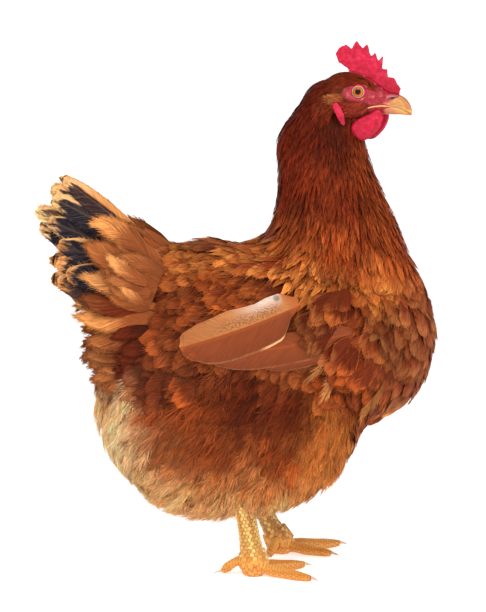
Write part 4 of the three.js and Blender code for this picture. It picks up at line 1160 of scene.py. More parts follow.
def big_vanes(name, specs, seed, material, shape, rows, columns, camber, ragged, barbs, reach):
    """Large feathers laid one by one. Each spec has a root, tip, up, half width, bow, roll and looks."""
    rng = np.random.default_rng(seed)
    root, tip, up = (np.array([spec[k] for spec in specs], float) for k in ("root", "tip", "up"))
    t = np.linspace(0, 1, rows)[None, :, None]
    way = unit(tip - root)
    up = unit(up - way * (up * way).sum(1, keepdims=True))
    side = np.cross(up, way)
    arch = 4 * t * (1 - t)
    bow = np.array([spec["bow"] for spec in specs])[:, None, :]
    at = root[:, None] + (tip - root)[:, None] * t
    at = at + up[:, None] * arch * bow[..., :1] + side[:, None] * arch * bow[..., 1:]
    up = np.repeat(up[:, None], rows, axis=1)
    roll = np.array([spec["roll"] for spec in specs])[:, None, None] * (t - 0.4)
    up = unit(up + np.cross(along_of(at), up) * roll)
    wide = np.array([spec["half"] for spec in specs])[:, None]
    half = np.interp(t[0, :, 0], np.linspace(0, 1, len(shape)), shape)[None] * wide
    half = half * (1 + rng.normal(0, 0.015, half.shape))
    feathers = Feathers(at, up, half, columns, camber, 0.5, ragged, rng)
    feathers.add_barbs(barbs, rng, reach, 0.3)
    middle, fringe = (
        varied(np.array([COLOUR[spec[part]] for spec in specs]), rng, 0.12) for part in ("middle", "fringe")
    )
    marks = np.array([[spec.get(key, 0.0) for key in ("dark", "pale", "hand")] for spec in specs])
    return finished(feathers.piece(name, middle, fringe, marks), material, "tail_feathers")


# Right-hand tail feathers from the top down: tip (x, z), how far out the tip lies, dark patch, pale web.
RECTRICES = (
    ((-156, 340), 4, 0.95, 2.0),
    ((-164, 332), 7, 1.0, 1.9),
    ((-165, 324), 13, 1.0, 1.5),
    ((-179, 314), 12, 0.8, 1.2),
    ((-170, 306), 18, 1.0, 0.8),
    ((-176, 301), 14, 1.0, 0.4),
    ((-162, 287), 23, 1.0, 0.7),
    ((-164, 271), 27, 1.0, 0.0),
    ((-156, 263), 30, 1.0, 0.3),
    ((-163, 255), 25, 0.9, 1.0),
    ((-150, 243), 22, 0.6, 0.6),
)


def tail_specs(side, rng):
    specs = []
    last = len(RECTRICES) - 1
    for i, ((x, z), out, dark, pale) in enumerate(RECTRICES):
        t = i / last
        lean = lerp(0.9, 0.15, t)
        jitter = rng.normal(0, 1.0, 3) if side == LEFT else np.zeros(3)
        specs.append({
            "root": (lerp(-70, -86, t), side * lerp(4, 26, t), lerp(270, 224, t)),
            "tip": (x + 4 + jitter[0], side * (out + abs(jitter[1])), z - 5 + jitter[2]),
            "up": (-0.1, side * 1.0, lean),
            "half": 13.5 if i else 10.0,
            "bow": (3.0, side * (3.0 if i else -1.0)),
            "roll": side * 0.12,
            "middle": "tan",
            "fringe": "cream" if i < 6 else "buff",
            "dark": dark,
            "pale": pale,
            "hand": side,
        })
    return specs


# Right-hand tail coverts laid one by one: root, tip, half width, colours.
LAID_COVERTS = (
    ((-84, 34, 270), (-129, 30, 300), 10, "brown", "buff"),
    ((-90, 40, 258), (-135, 35, 284), 11, "brown", "tan"),
    ((-86, 46, 250), (-118, 44, 273), 6, "brown", "buff"),
    ((-80, 42, 226), (-108, 47, 249), 5, "brown", "buff"),
    ((-74, 50, 222), (-142, 35, 223), 11, "brown", "buff"),
    ((-80, 52, 202), (-136, 40, 203), 11, "chestnut", "tan"),
    ((-84, 46, 241), (-138, 37, 257), 10, "brown", "buff"),
    ((-90, 46, 230), (-138, 37, 240), 11, "chestnut", "brown"),
    ((-84, 46, 198), (-137, 34, 191), 10, "chestnut", "tan"),
)

# Fans of coverts of a side: first and last root, first and last tip (x, |y|, z), number, half width, colours.
COVERT_FANS = (
    ((-58, 8, 276), (-70, 34, 256), (-112, 8, 298), (-118, 34, 280), 10, 7, "brown", "tan"),
    ((-72, 36, 258), (-84, 46, 230), (-114, 38, 276), (-118, 43, 246), 10, 7, "brown", "tan"),
    ((-78, 44, 232), (-82, 48, 200), (-118, 40, 236), (-122, 39, 200), 11, 7, "brown", "tan"),
    ((-74, 50, 214), (-76, 52, 190), (-112, 46, 208), (-110, 44, 178), 10, 7, "umber", "chestnut"),
    ((-80, 44, 200), (-78, 46, 184), (-132, 30, 188), (-114, 38, 153), 15, 8, "chestnut", "tan"),
    ((-60, 54, 200), (-62, 56, 182), (-110, 46, 182), (-92, 50, 152), 12, 7, "umber", "russet"),
)


def covert_specs(side, rng):
    specs = [dict(zip(("root", "tip", "half", "middle", "fringe"), covert)) for covert in LAID_COVERTS]
    for root_a, root_b, tip_a, tip_b, count, half, middle, fringe in COVERT_FANS:
        for k in range(count):
            t = (k + rng.uniform(-0.25, 0.25)) / (count - 1)
            specs.append({
                "root": lerp(np.array(root_a), np.array(root_b), t),
                "tip": lerp(np.array(tip_a), np.array(tip_b), t) + rng.normal(0, 3.0, 3),
                "half": half * rng.uniform(0.85, 1.15),
                "middle": middle if rng.random() < 0.7 else "brown",
                "fringe": fringe,
            })
    for spec in specs:
        spec["root"] = np.array(spec["root"], float) * (1, side, 1)
        spec["tip"] = np.array(spec["tip"], float) * (1, side, 1) + (3.0 if side == LEFT else 0.0, 0, 0)
        spec["up"] = (-0.15, side * 1.0, 0.35)
        spec["bow"] = (3.5, side * rng.normal(0, 2.5))
        spec["roll"] = side * rng.normal(0, 0.25)
    return specs


# Quills of the right wing from the lowest up: shaft root and tip (x, z), upper and lower web, lift, bow,
# pale.
QUILLS = (
    ((80, 202), (4, 187), 12, 10, 1.0, 0, 0.0),
    ((80, 210), (-37, 192), 14, 14, 2.2, 0, 0.0),
    ((36, 234.5), (-62, 199), 21, 20, 4.2, -1.5, 1.0),
)
# Widths of a quill's upper and lower web, from root to tip, as shares of the widest.
QUILL_WEBS = (
    (0.34, 0.74, 0.78, 0.72, 0.76, 0.83, 0.80, 0.74, 0.70, 0.52),
    (0.05, 0.30, 0.98, 1.08, 1.12, 1.12, 1.13, 1.10, 0.96, 0.60),
)


def on_form(x, z, side):
    """How far out the body's outer form lies at (x, z) on a side."""
    spot, _, _, _ = FORM.tree.ray_cast(Vector((x, side * 200.0, z)), Vector((0, -side, 0)))
    return abs(spot.y) if spot else 0.0


def add_quills(side, label, seed):
    """The wing's big quills, draped over the flank."""
    rng = np.random.default_rng(seed)
    rows, columns = 34, 11
    t = np.linspace(0, 1, rows)
    over, under = (np.interp(t, np.linspace(0, 1, 10), web) for web in QUILL_WEBS)
    for i, (root, tip, upper, lower, lift, bow, pale) in enumerate(QUILLS):
        way = np.array(tip, float) - root
        long = np.linalg.norm(way)
        way /= long
        normal = np.array([way[1], -way[0]])
        sag = t**0.6 * (1 - t) ** 1.3 / 0.306 * bow
        line = np.array(root) + np.outer(t * long, way) + np.outer(sag, normal)
        at = np.array([(x, side * (on_form(x, z, side) + lift), z) for x, z in line])[None]
        up = np.repeat(np.array([[[0, side, 0.12]]], float), rows, axis=1)
        narrow = (under * lower / (over * upper))[:, None]
        webs = (1.0, narrow) if side == RIGHT else (narrow, 1.0)
        feathers = Feathers(at, unit(up), (over * upper)[None], columns, 0.0, 0.5, 0.004, rng, webs)
        for part in (feathers.top, feathers.under):
            for k in np.ndindex(part.shape[:-1]):
                part[k][1] = side * (on_form(part[k][0], part[k][2], side) + lift)
        across = np.abs(feathers.v)[None, None, :]
        feathers.top[..., 1] -= side * 1.6 * across**2
        feathers.under[..., 1] -= side * 0.5
        feathers.add_barbs(60, rng, 0.022, 0.25)
        middle, fringe = COLOUR["quill"][None], COLOUR["amber"][None]
        piece = feathers.piece(f"quill_{label}_{i}", middle, fringe, np.array([[0.0, pale, side]]))
        finished(piece, QUILL, "wing_feathers", *([f"wing_{label}"] if i == 0 else []))


def add_tail():
    rng = np.random.default_rng(61)
    specs = tail_specs(RIGHT, rng) + tail_specs(LEFT, rng)
    piece = big_vanes("rectrices", specs, 62, TAIL_VANE, **RECTRIX_VANE)
    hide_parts("tail")
    specs = covert_specs(RIGHT, rng) + covert_specs(LEFT, rng)
    big_vanes("tail_coverts", specs, 63, COVERT, **COVERT_VANE)


# ---------------------------------------------------------------- the coat

def add_skin():
    shade = 0.55 * skin_lie.middle + 0.10 * skin_lie.tip
    skin_piece = mesh_piece("skin", skin, skin_quads, colours={"tint": shade}, uv=unwrap(skin))
    finished(skin_piece, SKIN, "plumage", "torso", "neck_lower", "neck_upper", "thigh_left", "thigh_right")


def kind_at(places, seed):
    """Which kind of feather grows at each place, by chance where two kinds of guide meet."""
    chance = BODY.lie(places).kind ** 3
    chance /= chance.sum(1, keepdims=True)
    draw = np.random.default_rng(seed).random(len(places))
    return (draw[:, None] > np.cumsum(chance, axis=1)).sum(1)


LOWEST_ROOT = 56.0


def wing_shoulder(p):
    """The part of the shoulder whose feathers lie over the roots of the wing's quills."""
    middle = 61 + 0.5 * np.maximum(p[:, 2] - 226, 0) + 0.9 * np.maximum(218 - p[:, 2], 0)
    return (np.abs(p[:, 0] - middle) < 11) & (np.abs(p[:, 2] - 214) < 32) & (np.abs(p[:, 1]) > 40)


# Roots of the pale tufts that part the feathers in front of the thigh and beside the breast.
PALE_TUFTS = (
    (72, -86, 188), (71, -86, 181), (71, -87, 173), (112, -62, 168), (108, -64, 160), (103, -66, 151),
)


def open_skin(p):
    return (p[:, 2] > LOWEST_ROOT) & (head_inside(p) < 0.97)


def add_coat():
    places = scatter(BODY, 160000, 11, lambda lie: (0.36 + 0.14 * lie.kind[:, 0]) * lie.wide, open_skin)
    kind = kind_at(places, 12)
    hackles, contour, loose, fluff = (places[kind == k] for k in range(len(KINDS)))
    for i in range(3):
        coat(f"contour_{i}", BODY, contour[i::3], 21 + i, CONTOUR, "plumage", **CONTOUR_VANE)
    for i in range(2):
        coat(f"hackle_{i}", BODY, hackles[i::2], 31 + i, HACKLE, "hackle", **HACKLE_VANE)
    coat("loose", BODY, loose, 27, LOOSE, "plumage", **LOOSE_VANE)
    for i in range(3):
        plumes(f"tufts_{i}", BODY, loose[i::3], 34, 51 + i)
    for i in range(2):
        plumes(f"fluff_{i}", BODY, fluff[i::2], 26, 41 + i)
    plumes("pale_tufts", FORM, np.array(PALE_TUFTS, float), 34, 46, 0.3, ("tan", "buff"), 0.25)
    over = scatter(WING_TOP, 9000, 14, lambda lie: 0.30 * lie.wide, wing_shoulder)
    coat("wing_coverts", WING_TOP, over, 24, CONTOUR, "plumage", **CONTOUR_VANE, rise_to=0.3, stretch=0.8)


add_skin()
add_coat()
add_tail()
for quill_label, quill_side in SIDES:
    add_quills(quill_side, quill_label, 71 + quill_side)


# ---------------------------------------------------------------- head

def bare_at(local):
    """How bare the head's skin is at places of its frame: 1 round the eye, at the beak and the comb."""
    x, y, z = local[:, 0], np.abs(local[:, 1]), local[:, 2]

    def patch(cx, cz, rx, rz):
        return 1 - smoothstep(0.8, 1.15, np.hypot((x - cx) / rx, (z - cz) / rz))

    wander = 0.12 * value_noise(local, 3.0, 5)
    side = smoothstep(3, 6, y)
    eye = patch(20.5, 6.0, 13.5, 7.6) * side
    lore = patch(35, 1.0, 10, 6.5) * side
    mouth = patch(36, -7.5, 7.5, 6.0)
    front = smoothstep(33, 37, x)
    comb = (1 - smoothstep(3.5, 6.0, y)) * smoothstep(8, 12, x) * smoothstep(8, 14, z)
    bare = np.maximum.reduce([eye, lore, mouth, front, comb])
    return np.clip(bare + wander * (bare > 0.05) * (bare < 0.95), 0, 1)


def add_head():
    """The head's shell: bare wrinkled skin on the face, short down elsewhere, and hollows for the eyes."""
    local, quads, tris = loft_grid(HEAD, 170, 190)
    points = head_to_hen(local)
    bare = bare_at(local)
    x, y, z = local.T
    off = np.hypot(x - EYE["x"], z - EYE["z"])
    facing = np.abs(y) > 5
    wrinkle = 0.28 * value_noise(local * (1, 1, 1.8), 1.6, 3) + 0.16 * value_noise(local, 0.8, 4)
    rings = 0.22 * np.cos(off * 2.6) * smoothstep(6, 7.5, off) * (1 - smoothstep(9, 13, off)) * facing
    swell = bare * (wrinkle + rings) - 0.9 * (1 - bare)
    swell += 0.9 * spot(x, z, (20, 14.6), (8, 2.6)) * facing
    swell -= 0.9 * spot(x, z, (20, 10.8), (9, 1.6)) * facing
    _, _, normals = arrays_of(bare_mesh("head_shell", points, quads, tris))
    points = points + normals * swell[:, None]
    own = hen_to_head(points)
    deep = 1 - smoothstep(EYE["opening"] - 0.9, EYE["opening"] + 0.4, off)
    out = np.abs(own[:, 1])
    hollow = np.sign(own[:, 1]) * lerp(out, np.minimum(out, 9.0), deep)
    own[:, 1] = np.where(facing, hollow, own[:, 1])
    points = head_to_hen(own)
    red = washed(
        "rose",
        ("blood", smoothstep(-0.4, 0.6, value_noise(local, 2.2, 8))),
        ("blush", 0.55 * smoothstep(0.1, 0.7, value_noise(local, 3.0, 9))),
    )
    tint = lerp(0.6 * COLOUR["hackle"], red, bare[:, None])
    turn = np.arctan2(local[:, 1], local[:, 2] - 3) / (2 * math.pi) + 0.5
    uv = np.stack([0.02 + 0.3 * turn, 0.02 + 0.3 * (local[:, 0] + 12) / 60], axis=1)
    piece = mesh_piece("head_skin", points, quads, tris, {"tint": tint}, uv=uv)
    finished(piece, BARE_SKIN, "comb_skin", "head")
    return bed_of_head(points, np.concatenate([quads[:, [0, 1, 2]], quads[:, [0, 2, 3]], tris]))


def bed_of_head(points, triangles):
    return Bed(points, triangles, HEAD_GUIDES, HEAD_AXES, HEAD_AT, 6.0)


def on_face(points):
    """True where the head's own shell is the outermost surface: in front of the nape and above the throat."""
    own = hen_to_head(points)
    return (own[:, 0] > 0) & (own[:, 2] > -15)


def outside(bed, other, near=75.0):
    """True at the points of a bed near the head that lie outside another bed."""
    out = np.zeros(len(bed.points), bool)
    for i in np.flatnonzero(np.linalg.norm(bed.points - HEAD_AT, axis=1) < near):
        place = Vector(bed.points[i])
        spot, normal, _, _ = other.tree.find_nearest(place)
        out[i] = (place - spot).dot(normal) > 0
    return out


def head_and_neck(bed):
    """The head's shell and the neck's skin as one bed, without what either hides of the other."""
    shell = outside(bed, BODY) | on_face(bed.points)
    neck = outside(BODY, bed) & ~on_face(BODY.points)
    of_shell = bed.triangles[shell[bed.triangles].all(1)]
    of_neck = BODY.triangles[neck[BODY.triangles].all(1)] + len(bed.points)
    return bed_of_head(np.concatenate([bed.points, BODY.points]), np.concatenate([of_shell, of_neck]))


def add_head_feathers(bed):
    def feathered(places):
        own = bed.local(places)
        return (bare_at(own) < 0.45) & (own[:, 0] > -9.5)

    places = scatter(bed, 60000, 81, lambda lie: 0.5 * lie.wide, feathered)
    over = head_and_neck(bed)
    coat("head_feathers", over, places, 82, HEAD_FEATHER, "hackle", **SHORT_VANE)

    def bristly(places):
        own = bed.local(places)
        off = np.hypot(own[:, 0] - EYE["x"], own[:, 2] - EYE["z"])
        bare = bare_at(own)
        return (bare > 0.3) & (off > 7.5) & (np.abs(own[:, 1]) > 4) & (own[:, 0] < 43)

    places = scatter(bed, 6000, 83, lambda lie: 0 * lie.wide + 1.5, bristly)
    coat("bristles", bed, places, 84, HEAD_FEATHER, "hackle", **BRISTLE_VANE)


def tube(centres, outs, ups, radius, sides, closed=False):
    """Points and faces of a tube round a line. outs, ups: the tube's two axes along the line."""
    turn = full_turn(sides)[None, :, None]
    ring = np.cos(turn) * outs[:, None] + np.sin(turn) * ups[:, None]
    points = (centres[:, None] + ring * radius[:, None, None]).reshape(-1, 3)
    return points, tube_quads(len(centres), sides, closed)[:, OVER]


def eye_material():
    n = Nodes("eye", Roughness=0.4, Specular_IOR_Level=0.05, Coat_Weight=0.25, Coat_Roughness=0.03)
    off, turn, _ = n.parts("lie")
    rays = n.noise(n.join(n.times(off, 0.5), n.times(turn, 9.0), 0.0), 1.0, 3.0, 0.6)
    iris = n.mix(n.ramp(off, 2.2, 3.6), "iris", "iris_bright")
    iris = n.shade(n.mix(n.ramp(off, 3.5, 3.9), iris, "iris_rim"), n.ramp(rays, 0.3, 0.7, 0.7, 1.25))
    whole = n.mix(n.ramp(off, 1.95, 2.25), (0.004, 0.004, 0.006, 1), iris)
    n.colour(n.mix(n.ramp(off, 3.95, 4.25), whole, "eye_rim"))
    return n.material


def two_tone(name, grain, low, high, dark, light, **constants):
    """A material that turns from one colour into another where its grain goes from low to high."""
    n = Nodes(name, **constants)
    n.colour(n.mix(n.ramp(n.grain(*grain), low, high), dark, light))
    return n.material


# Rings of an eyelid: half length, half height, how proud of the ball, thickness, how deeply beaded.
LIDS = ((4.9, 4.6, 0.0, 0.36, 0.0), (5.8, 5.5, 0.2, 0.75, 0.12))


def add_eye(label, side, ball_material, lid_material):
    """An eyeball whose cornea bulges, and the rings of its lids."""
    centre = np.array([EYE["x"], side * EYE["y"], EYE["z"]])
    rings, sides = 60, 72
    polar, around = np.linspace(0.0, math.pi, rings)[:, None], full_turn(sides)[None]
    out = side * (np.cos(polar) + 0 * around)
    ball = [np.sin(polar) * np.cos(around), out, np.sin(polar) * np.sin(around)]
    bulge = 1 + 0.05 * np.exp(-((polar / 0.45) ** 2))[..., None]
    points = (centre + np.stack(ball, axis=2) * EYE["ball"] * bulge).reshape(-1, 3)
    quads = tube_quads(rings, sides)[:, OVER]
    if side == LEFT:
        quads = quads[:, ::-1]
    off_axis = np.broadcast_to(np.sin(np.minimum(polar, math.pi / 2)) * EYE["ball"], (rings, sides))
    data = np.stack([off_axis, np.broadcast_to(around, (rings, sides)), 0 * off_axis], axis=2).reshape(-1, 3)
    piece = mesh_piece(f"eyeball_{label}", head_to_hen(points), quads, vectors={"lie": data})
    finished(piece, ball_material, "eye", f"eye_{label}")
    turn = full_turn(72)
    outward = np.stack([np.cos(turn), 0 * turn, np.sin(turn)], axis=1)
    ups = np.repeat([[0.0, float(side), 0.0]], len(turn), axis=0)
    for ring, (reach, tall, proud, thick, beads) in enumerate(LIDS):
        wide = np.hypot(np.cos(turn) * reach, np.sin(turn) * tall)
        sunk = np.sqrt(np.maximum(EYE["ball"] ** 2 - wide**2, 1.0)) + proud
        centres = centre + outward * wide[:, None] + np.array([0, side, 0]) * sunk[:, None]
        radius = thick * (1 + beads * np.cos(turn * 9 + side) + 0.15 * np.sin(turn))
        points, quads = tube(head_to_hen(centres), outward @ HEAD_AXES, ups @ HEAD_AXES, radius, 12, True)
        lid = mesh_piece(f"lid_{label}_{ring}", points, quads)
        finished(lid, RED if ring else lid_material, "comb_skin")


def add_eyes():
    ball = eye_material()
    lid = two_tone(
        "lid", (2500.0, 3.0, 0.6, 0.15), 0.35, 0.65, "lid", "lid_pale",
        Roughness=0.4, Subsurface_Weight=0.2, Subsurface_Scale=0.001,
    )
    for label, side in SIDES:
        add_eye(label, side, ball, lid)


def horn_material():
    n = Nodes(
        "horn", Roughness=0.34, Subsurface_Weight=0.15, Subsurface_Scale=0.001,
        Coat_Weight=0.2, Coat_Roughness=0.25,
    )
    x, out, z = n.parts("lie")
    streak = n.noise(n.join(n.times(x, 0.12), out, z), 1.1, 4.0, 0.6)
    n.colour(n.shade(n.attribute("tint"), n.ramp(streak, 0.3, 0.7, 0.7, 1.12)))
    n.bump(streak, 0.25)
    return n.material


NOSTRIL = {"x": 48.6, "z": 1.6, "long": 2.6, "high": 0.8, "deep": 1.5}


def beak_colours(local):
    """Yellow horn, browner on the ridge and orange at the tip, with a painted highlight as a pale band along
    the mouth line, that turns into red skin at the base.
    """
    x, out, z = local[:, 0], np.abs(local[:, 1]), local[:, 2]
    horn = washed(
        "horn",
        ("horn_ridge", (1 - smoothstep(0.5, 3.8, out)) * smoothstep(-8, 2, z)),
        ("horn_tip", 0.75 * smoothstep(57, 63, x + 0.3 * (z + 8))),
        ("horn_base", 0.7 * (1 - smoothstep(42, 54, x + 0.6 * (z + 4)))),
        ("horn_seam", 0.5 * np.exp(-(((z + 3.4 + 0.2 * (x - 50)) / 1.0) ** 2))),
        # a painted highlight: a pale band along the mouth line
        ("horn_painted_highlight", 0.5 * (1 - smoothstep(0.4, 1.8, np.abs(z + 5.5 + 0.25 * (x - 46))))),
    )
    edge = z - (-1.2 + np.clip(x - 46, -30, 30) * 0.42) + 0.7 * value_noise(local, 1.8, 6)
    flesh = smoothstep(-0.6, 1.2, edge) * (1 - smoothstep(56, 60, x))
    low = smoothstep(-9.5, -6.5, z) * (1 - smoothstep(-4.2, -2.4, z))
    flesh = np.maximum(flesh, (1 - smoothstep(38, 46, x)) * (1 - low))
    # hole: the nostril's opening, painted dark inside as a painted shade
    hole = spot(x, z, (NOSTRIL["x"] + 0.4, NOSTRIL["z"]), (3.2, 0.8))
    # pale: the flap over the nostril, paler partly by its own skin and partly as a painted highlight
    pale = spot(x, z, (48, 3.0), (4.5, 1.2))
    cere = washed("cere", ("cere_pale", pale), ("nostril", np.minimum(1.3 * hole, 1)))
    return lerp(horn, cere, flesh[:, None])


def pierce(local):
    """Sinks the nostrils into the upper beak, under the flaps over them."""
    x, y, z = local.T
    off = np.hypot((x - NOSTRIL["x"]) / NOSTRIL["long"], (z - NOSTRIL["z"]) / NOSTRIL["high"])
    hole = 1 - smoothstep(0.5, 1.2, off)
    flap = spot(x, z, (48, 3.1), (4.4, 1.4))
    y += np.sign(y) * (0.55 * flap - NOSTRIL["deep"] * hole) * (np.abs(y) > 1.5)


def add_gape(label, side, horn):
    """The fleshy corner of the mouth."""
    t = np.linspace(0, 1, 26)
    x = lerp(28.5, 47.0, t)
    y = side * np.interp(x, (28.5, 34, 40, 47), (11.9, 10.1, 8.0, 6.5))
    z = np.interp(x, (28.5, 33, 40, 47), (-6.8, -5.6, -4.9, -5.6))
    centres = np.stack([x, y, z], axis=1)
    thick = 0.95 * np.sin(math.pi * np.clip(t * 0.9 + 0.08, 0, 1)) ** 0.5
    way = along_of(centres[None])[0]
    out = np.repeat([[0.35, float(side), 0.0]], len(t), axis=0)
    out = unit(out - way * (out * way).sum(1, keepdims=True))
    points, quads = tube(centres, out, 0.75 * np.cross(way, out), thick, 10)
    tint = np.broadcast_to(COLOUR["gape"], points.shape)
    piece = mesh_piece(f"gape_{label}", head_to_hen(points), quads, (), {"tint": tint}, {"lie": points})
    finished(piece, horn, "beak_horn")


def add_beak():
    horn = horn_material()
    for name, stations in (("beak_upper", BEAK_UPPER), ("beak_lower", BEAK_LOWER)):
        local, quads, tris = loft_grid(stations, 90, 72)
        if name == "beak_upper":
            pierce(local)
        piece = mesh_piece(
            name + "_horn", head_to_hen(local), quads, tris, {"tint": beak_colours(local)}, {"lie": local},
        )
        finished(piece, horn, "beak_horn", name)
    for label, side in SIDES:
        add_gape(label, side, horn)


def red_material():
    n = Nodes(
        "red_skin", Roughness=0.45, Subsurface_Weight=0.3, Subsurface_Scale=0.002, Specular_IOR_Level=0.3,
    )
    wide = n.noise(n.add("TexCoord").outputs["Object"], 220.0, 4.0, 0.6)
    tone = n.mix(n.ramp(wide, 0.30, 0.55), "comb", "comb_bright")
    # Pale patches scattered by the noise: painted highlights on the red skin.
    tone = n.mix(n.times(n.ramp(wide, 0.50, 0.8), 0.4), tone, "comb_painted_highlight")
    _, _, height = n.split(n.add("TexCoord").outputs["Generated"])
    tone = n.mix(n.ramp(height, 0.0, 0.5, 0.55, 0.0), tone, "comb_low")
    n.colour(n.shade(tone, n.ramp(n.grain(1400.0, 3.0, 0.6, 0.35), 0.3, 0.7, 0.9, 1.06)))
    return n.material


RED = red_material()
BARE_SKIN = grained(
    "bare_skin", (1800.0, 4.0, 0.6, 0.25), 0.75, 1.1,
    Roughness=0.5, Subsurface_Weight=0.25, Subsurface_Scale=0.0015, Specular_IOR_Level=0.45,
)


def crinkled(name, nodes, voxel, passes, crinkle, size, seed, material, slot):
    """Solids of the frame as one smooth fleshy or horny form, with a crinkled surface."""
    mesh = remeshed(name, solids(*nodes), voxel, passes)
    points, _, normals = arrays_of(mesh)
    rough = value_noise(points, size, seed) + 0.5 * value_noise(points, size / 2.2, seed + 1)
    piece = mesh_piece(name, points + normals * (crinkle * rough)[:, None], quads_of(mesh))
    return finished(piece, material, slot, *nodes)


# The outline of a wattle in the head's frame, from where it hangs at the beak's base round by the front.
WATTLE = (
    (37.5, -8.5), (41.0, -13.5), (38.6, -22.0), (33.6, -28.6), (27.8, -33.2), (21.7, -33.4),
    (16.8, -29.3), (14.6, -24.3), (16.4, -19.2), (22.2, -15.0), (30.0, -11.6), (34.5, -8.6),
)


def closed_line(corners, count):
    """Even points on a smooth closed line through corners."""
    table = np.array(corners, float)
    s = np.linspace(0, len(table), count, endpoint=False)
    k, t = np.floor(s).astype(int), (s % 1)[:, None]
    a, b, c, d = (table[(k + i) % len(table)] for i in (-1, 0, 1, 2))
    return through(a, b, c, d, t)


def add_wattle(label, side):
    """A fleshy lobe: thin where it hangs from, full below, with a rolled rim."""
    sides, half = 120, 25
    line = closed_line(WATTLE, sides) + (2.5 if side == LEFT else 0.0, 0.0)
    middle = line.mean(0)
    quarter = math.pi / 2
    reach = [np.sin(np.linspace(0, quarter, half + 1)), np.sin(np.linspace(quarter, 0, half + 1))[1:]]

    def placed(flat, full):
        x, z = flat[..., 0], flat[..., 1]
        return np.stack([x, side * (8.6 + 0.12 * (-9 - z) + full), z], axis=-1)

    rows = []
    for k, r in enumerate(np.concatenate(reach)[1:-1], start=1):
        flat = middle + (line - middle) * r
        full = 2.5 * math.sqrt(max(1 - r * r, 0.0)) + 0.5 * math.exp(-(((r - 0.86) / 0.1) ** 2))
        full = full * (0.55 + 0.45 * smoothstep(-9, -20, flat[:, 1]))
        rows.append(placed(flat, full if k <= half else -full))
    points = np.vstack([*rows, placed(middle, 2.5), placed(middle, -2.5)])
    quads, tris = tube_quads(len(rows), sides), end_caps(len(rows), sides)
    if side == LEFT:
        quads, tris = quads[:, ::-1], tris[:, ::-1]
    rough = value_noise(points, 2.4, 93) + 0.5 * value_noise(points, 1.1, 94)
    points[:, 1] += side * 0.18 * rough
    piece = mesh_piece(f"wattle_flesh_{label}", head_to_hen(points), quads, tris)
    finished(piece, RED, "comb_skin", f"wattle_{label}")


def add_bare_parts():
    crinkled("comb_flesh", ["comb"], 0.5, 5, 0.32, 2.2, 91, RED, "comb_skin")
    for label, side in SIDES:
        add_wattle(label, side)
        crinkled(f"earlobe_flesh_{label}", [f"earlobe_{label}"], 0.4, 6, 0.12, 2.0, 95, RED, "comb_skin")


# ---------------------------------------------------------------- legs

LEGS = {
    "left": {"hock": (9, 49, 66), "foot": (40.5, 47), "toes": 19, "side": LEFT},
    "right": {"hock": (-6.5, -43, 68), "foot": (4.5, -36), "toes": 25, "side": RIGHT},
}
TOES = (("inner", -46), ("middle", 0), ("outer", 60), ("hind", -140))
# Heights of a shank's front plates and of a toe's upper plates, and half their width, round a toe in mm.
PLATE, TOE_PLATE = 4.4, 2.6
SHANK_PLATES, TOE_PLATES = 0.5, 4.6


def cells(u, v, step_u, step_v, seed):
    """A staggered net of rounded cells on a plane: the distance to a cell's border, and the cell's number."""
    row = np.floor(v / step_v)
    best, second, number = np.full(u.shape, 1e9), np.full(u.shape, 1e9), np.zeros(u.shape)
    for dr in (-1, 0, 1, 2):
        r = row + dr
        shift = np.mod(r, 2) * 0.5
        column = np.floor(u / step_u - shift)
        for dc in (0, 1):
            c = column + dc
            wob = np.sin(c * 12.9 + r * 78.2 + seed) * 43758.5
            wob = (wob - np.floor(wob) - 0.5) * 0.22
            far = np.hypot((c + shift + wob) * step_u - u, (r + wob) * step_v - v)
            closer = far < best
            second = np.where(closer, best, np.minimum(second, far))
            number = np.where(closer, c * 31 + r * 17, number)
            best = np.where(closer, far, best)
    return second - best, number


def shank_scales(points, leg):
    """Plates down the front of a shank and small scales round the rest of it."""
    foot, hock = np.array([*leg["foot"], 15.0]), np.array(leg["hock"], float)
    way = unit(hock - foot)
    heading = math.radians(leg["toes"])
    ahead = np.array([math.cos(heading), math.sin(heading), 0.0])
    ahead = unit(ahead - way * (ahead @ way))
    rel = points - foot
    high = rel @ way
    turn = np.arctan2(rel @ np.cross(way, ahead), rel @ ahead)
    gap, number = cells(turn * 7.8, high, 3.5, 3.2, leg["side"])
    share = np.mod(high / PLATE, 1)
    plates = np.abs(turn) < SHANK_PLATES
    border = np.minimum(np.minimum(share, 1 - share) * 2 * PLATE, (SHANK_PLATES - np.abs(turn)) * 15)
    return np.where(plates, border, gap), np.where(plates, np.floor(high / PLATE) * 13, number)


def toe_scales(points, leg):
    """Plates along the top of the toe that is nearest, and small scales round the rest of it."""
    gap, number, nearest = np.full(len(points), 9.0), np.zeros(len(points)), np.full(len(points), 1e9)
    flat = points[:, :2] - np.array(leg["foot"])
    for k, (_, angle) in enumerate(TOES):
        a = math.radians(leg["toes"] + leg["side"] * angle)
        along = flat @ np.array([math.cos(a), math.sin(a)])
        aside = flat @ np.array([-math.sin(a), math.cos(a)])
        arc = np.arctan2(aside, np.maximum(points[:, 2] - 4.6, -20)) * 5.0
        far = np.abs(aside) + 3 * np.maximum(-along, 0)
        top = np.abs(arc) < TOE_PLATES
        own, tag = cells(np.where(top, 0.0, arc + 0.5), along, 3.4, 2.6, k)
        share = np.mod(along / TOE_PLATE, 1)
        own = np.where(top, np.minimum(share, 1 - share) * 2 * TOE_PLATE, own)
        tag = np.where(top, np.floor(along / TOE_PLATE) * 17, tag)
        closer = far < nearest
        gap, number = np.where(closer, own, gap), np.where(closer, tag + 100 * k, number)
        nearest = np.where(closer, far, nearest)
    return gap, number


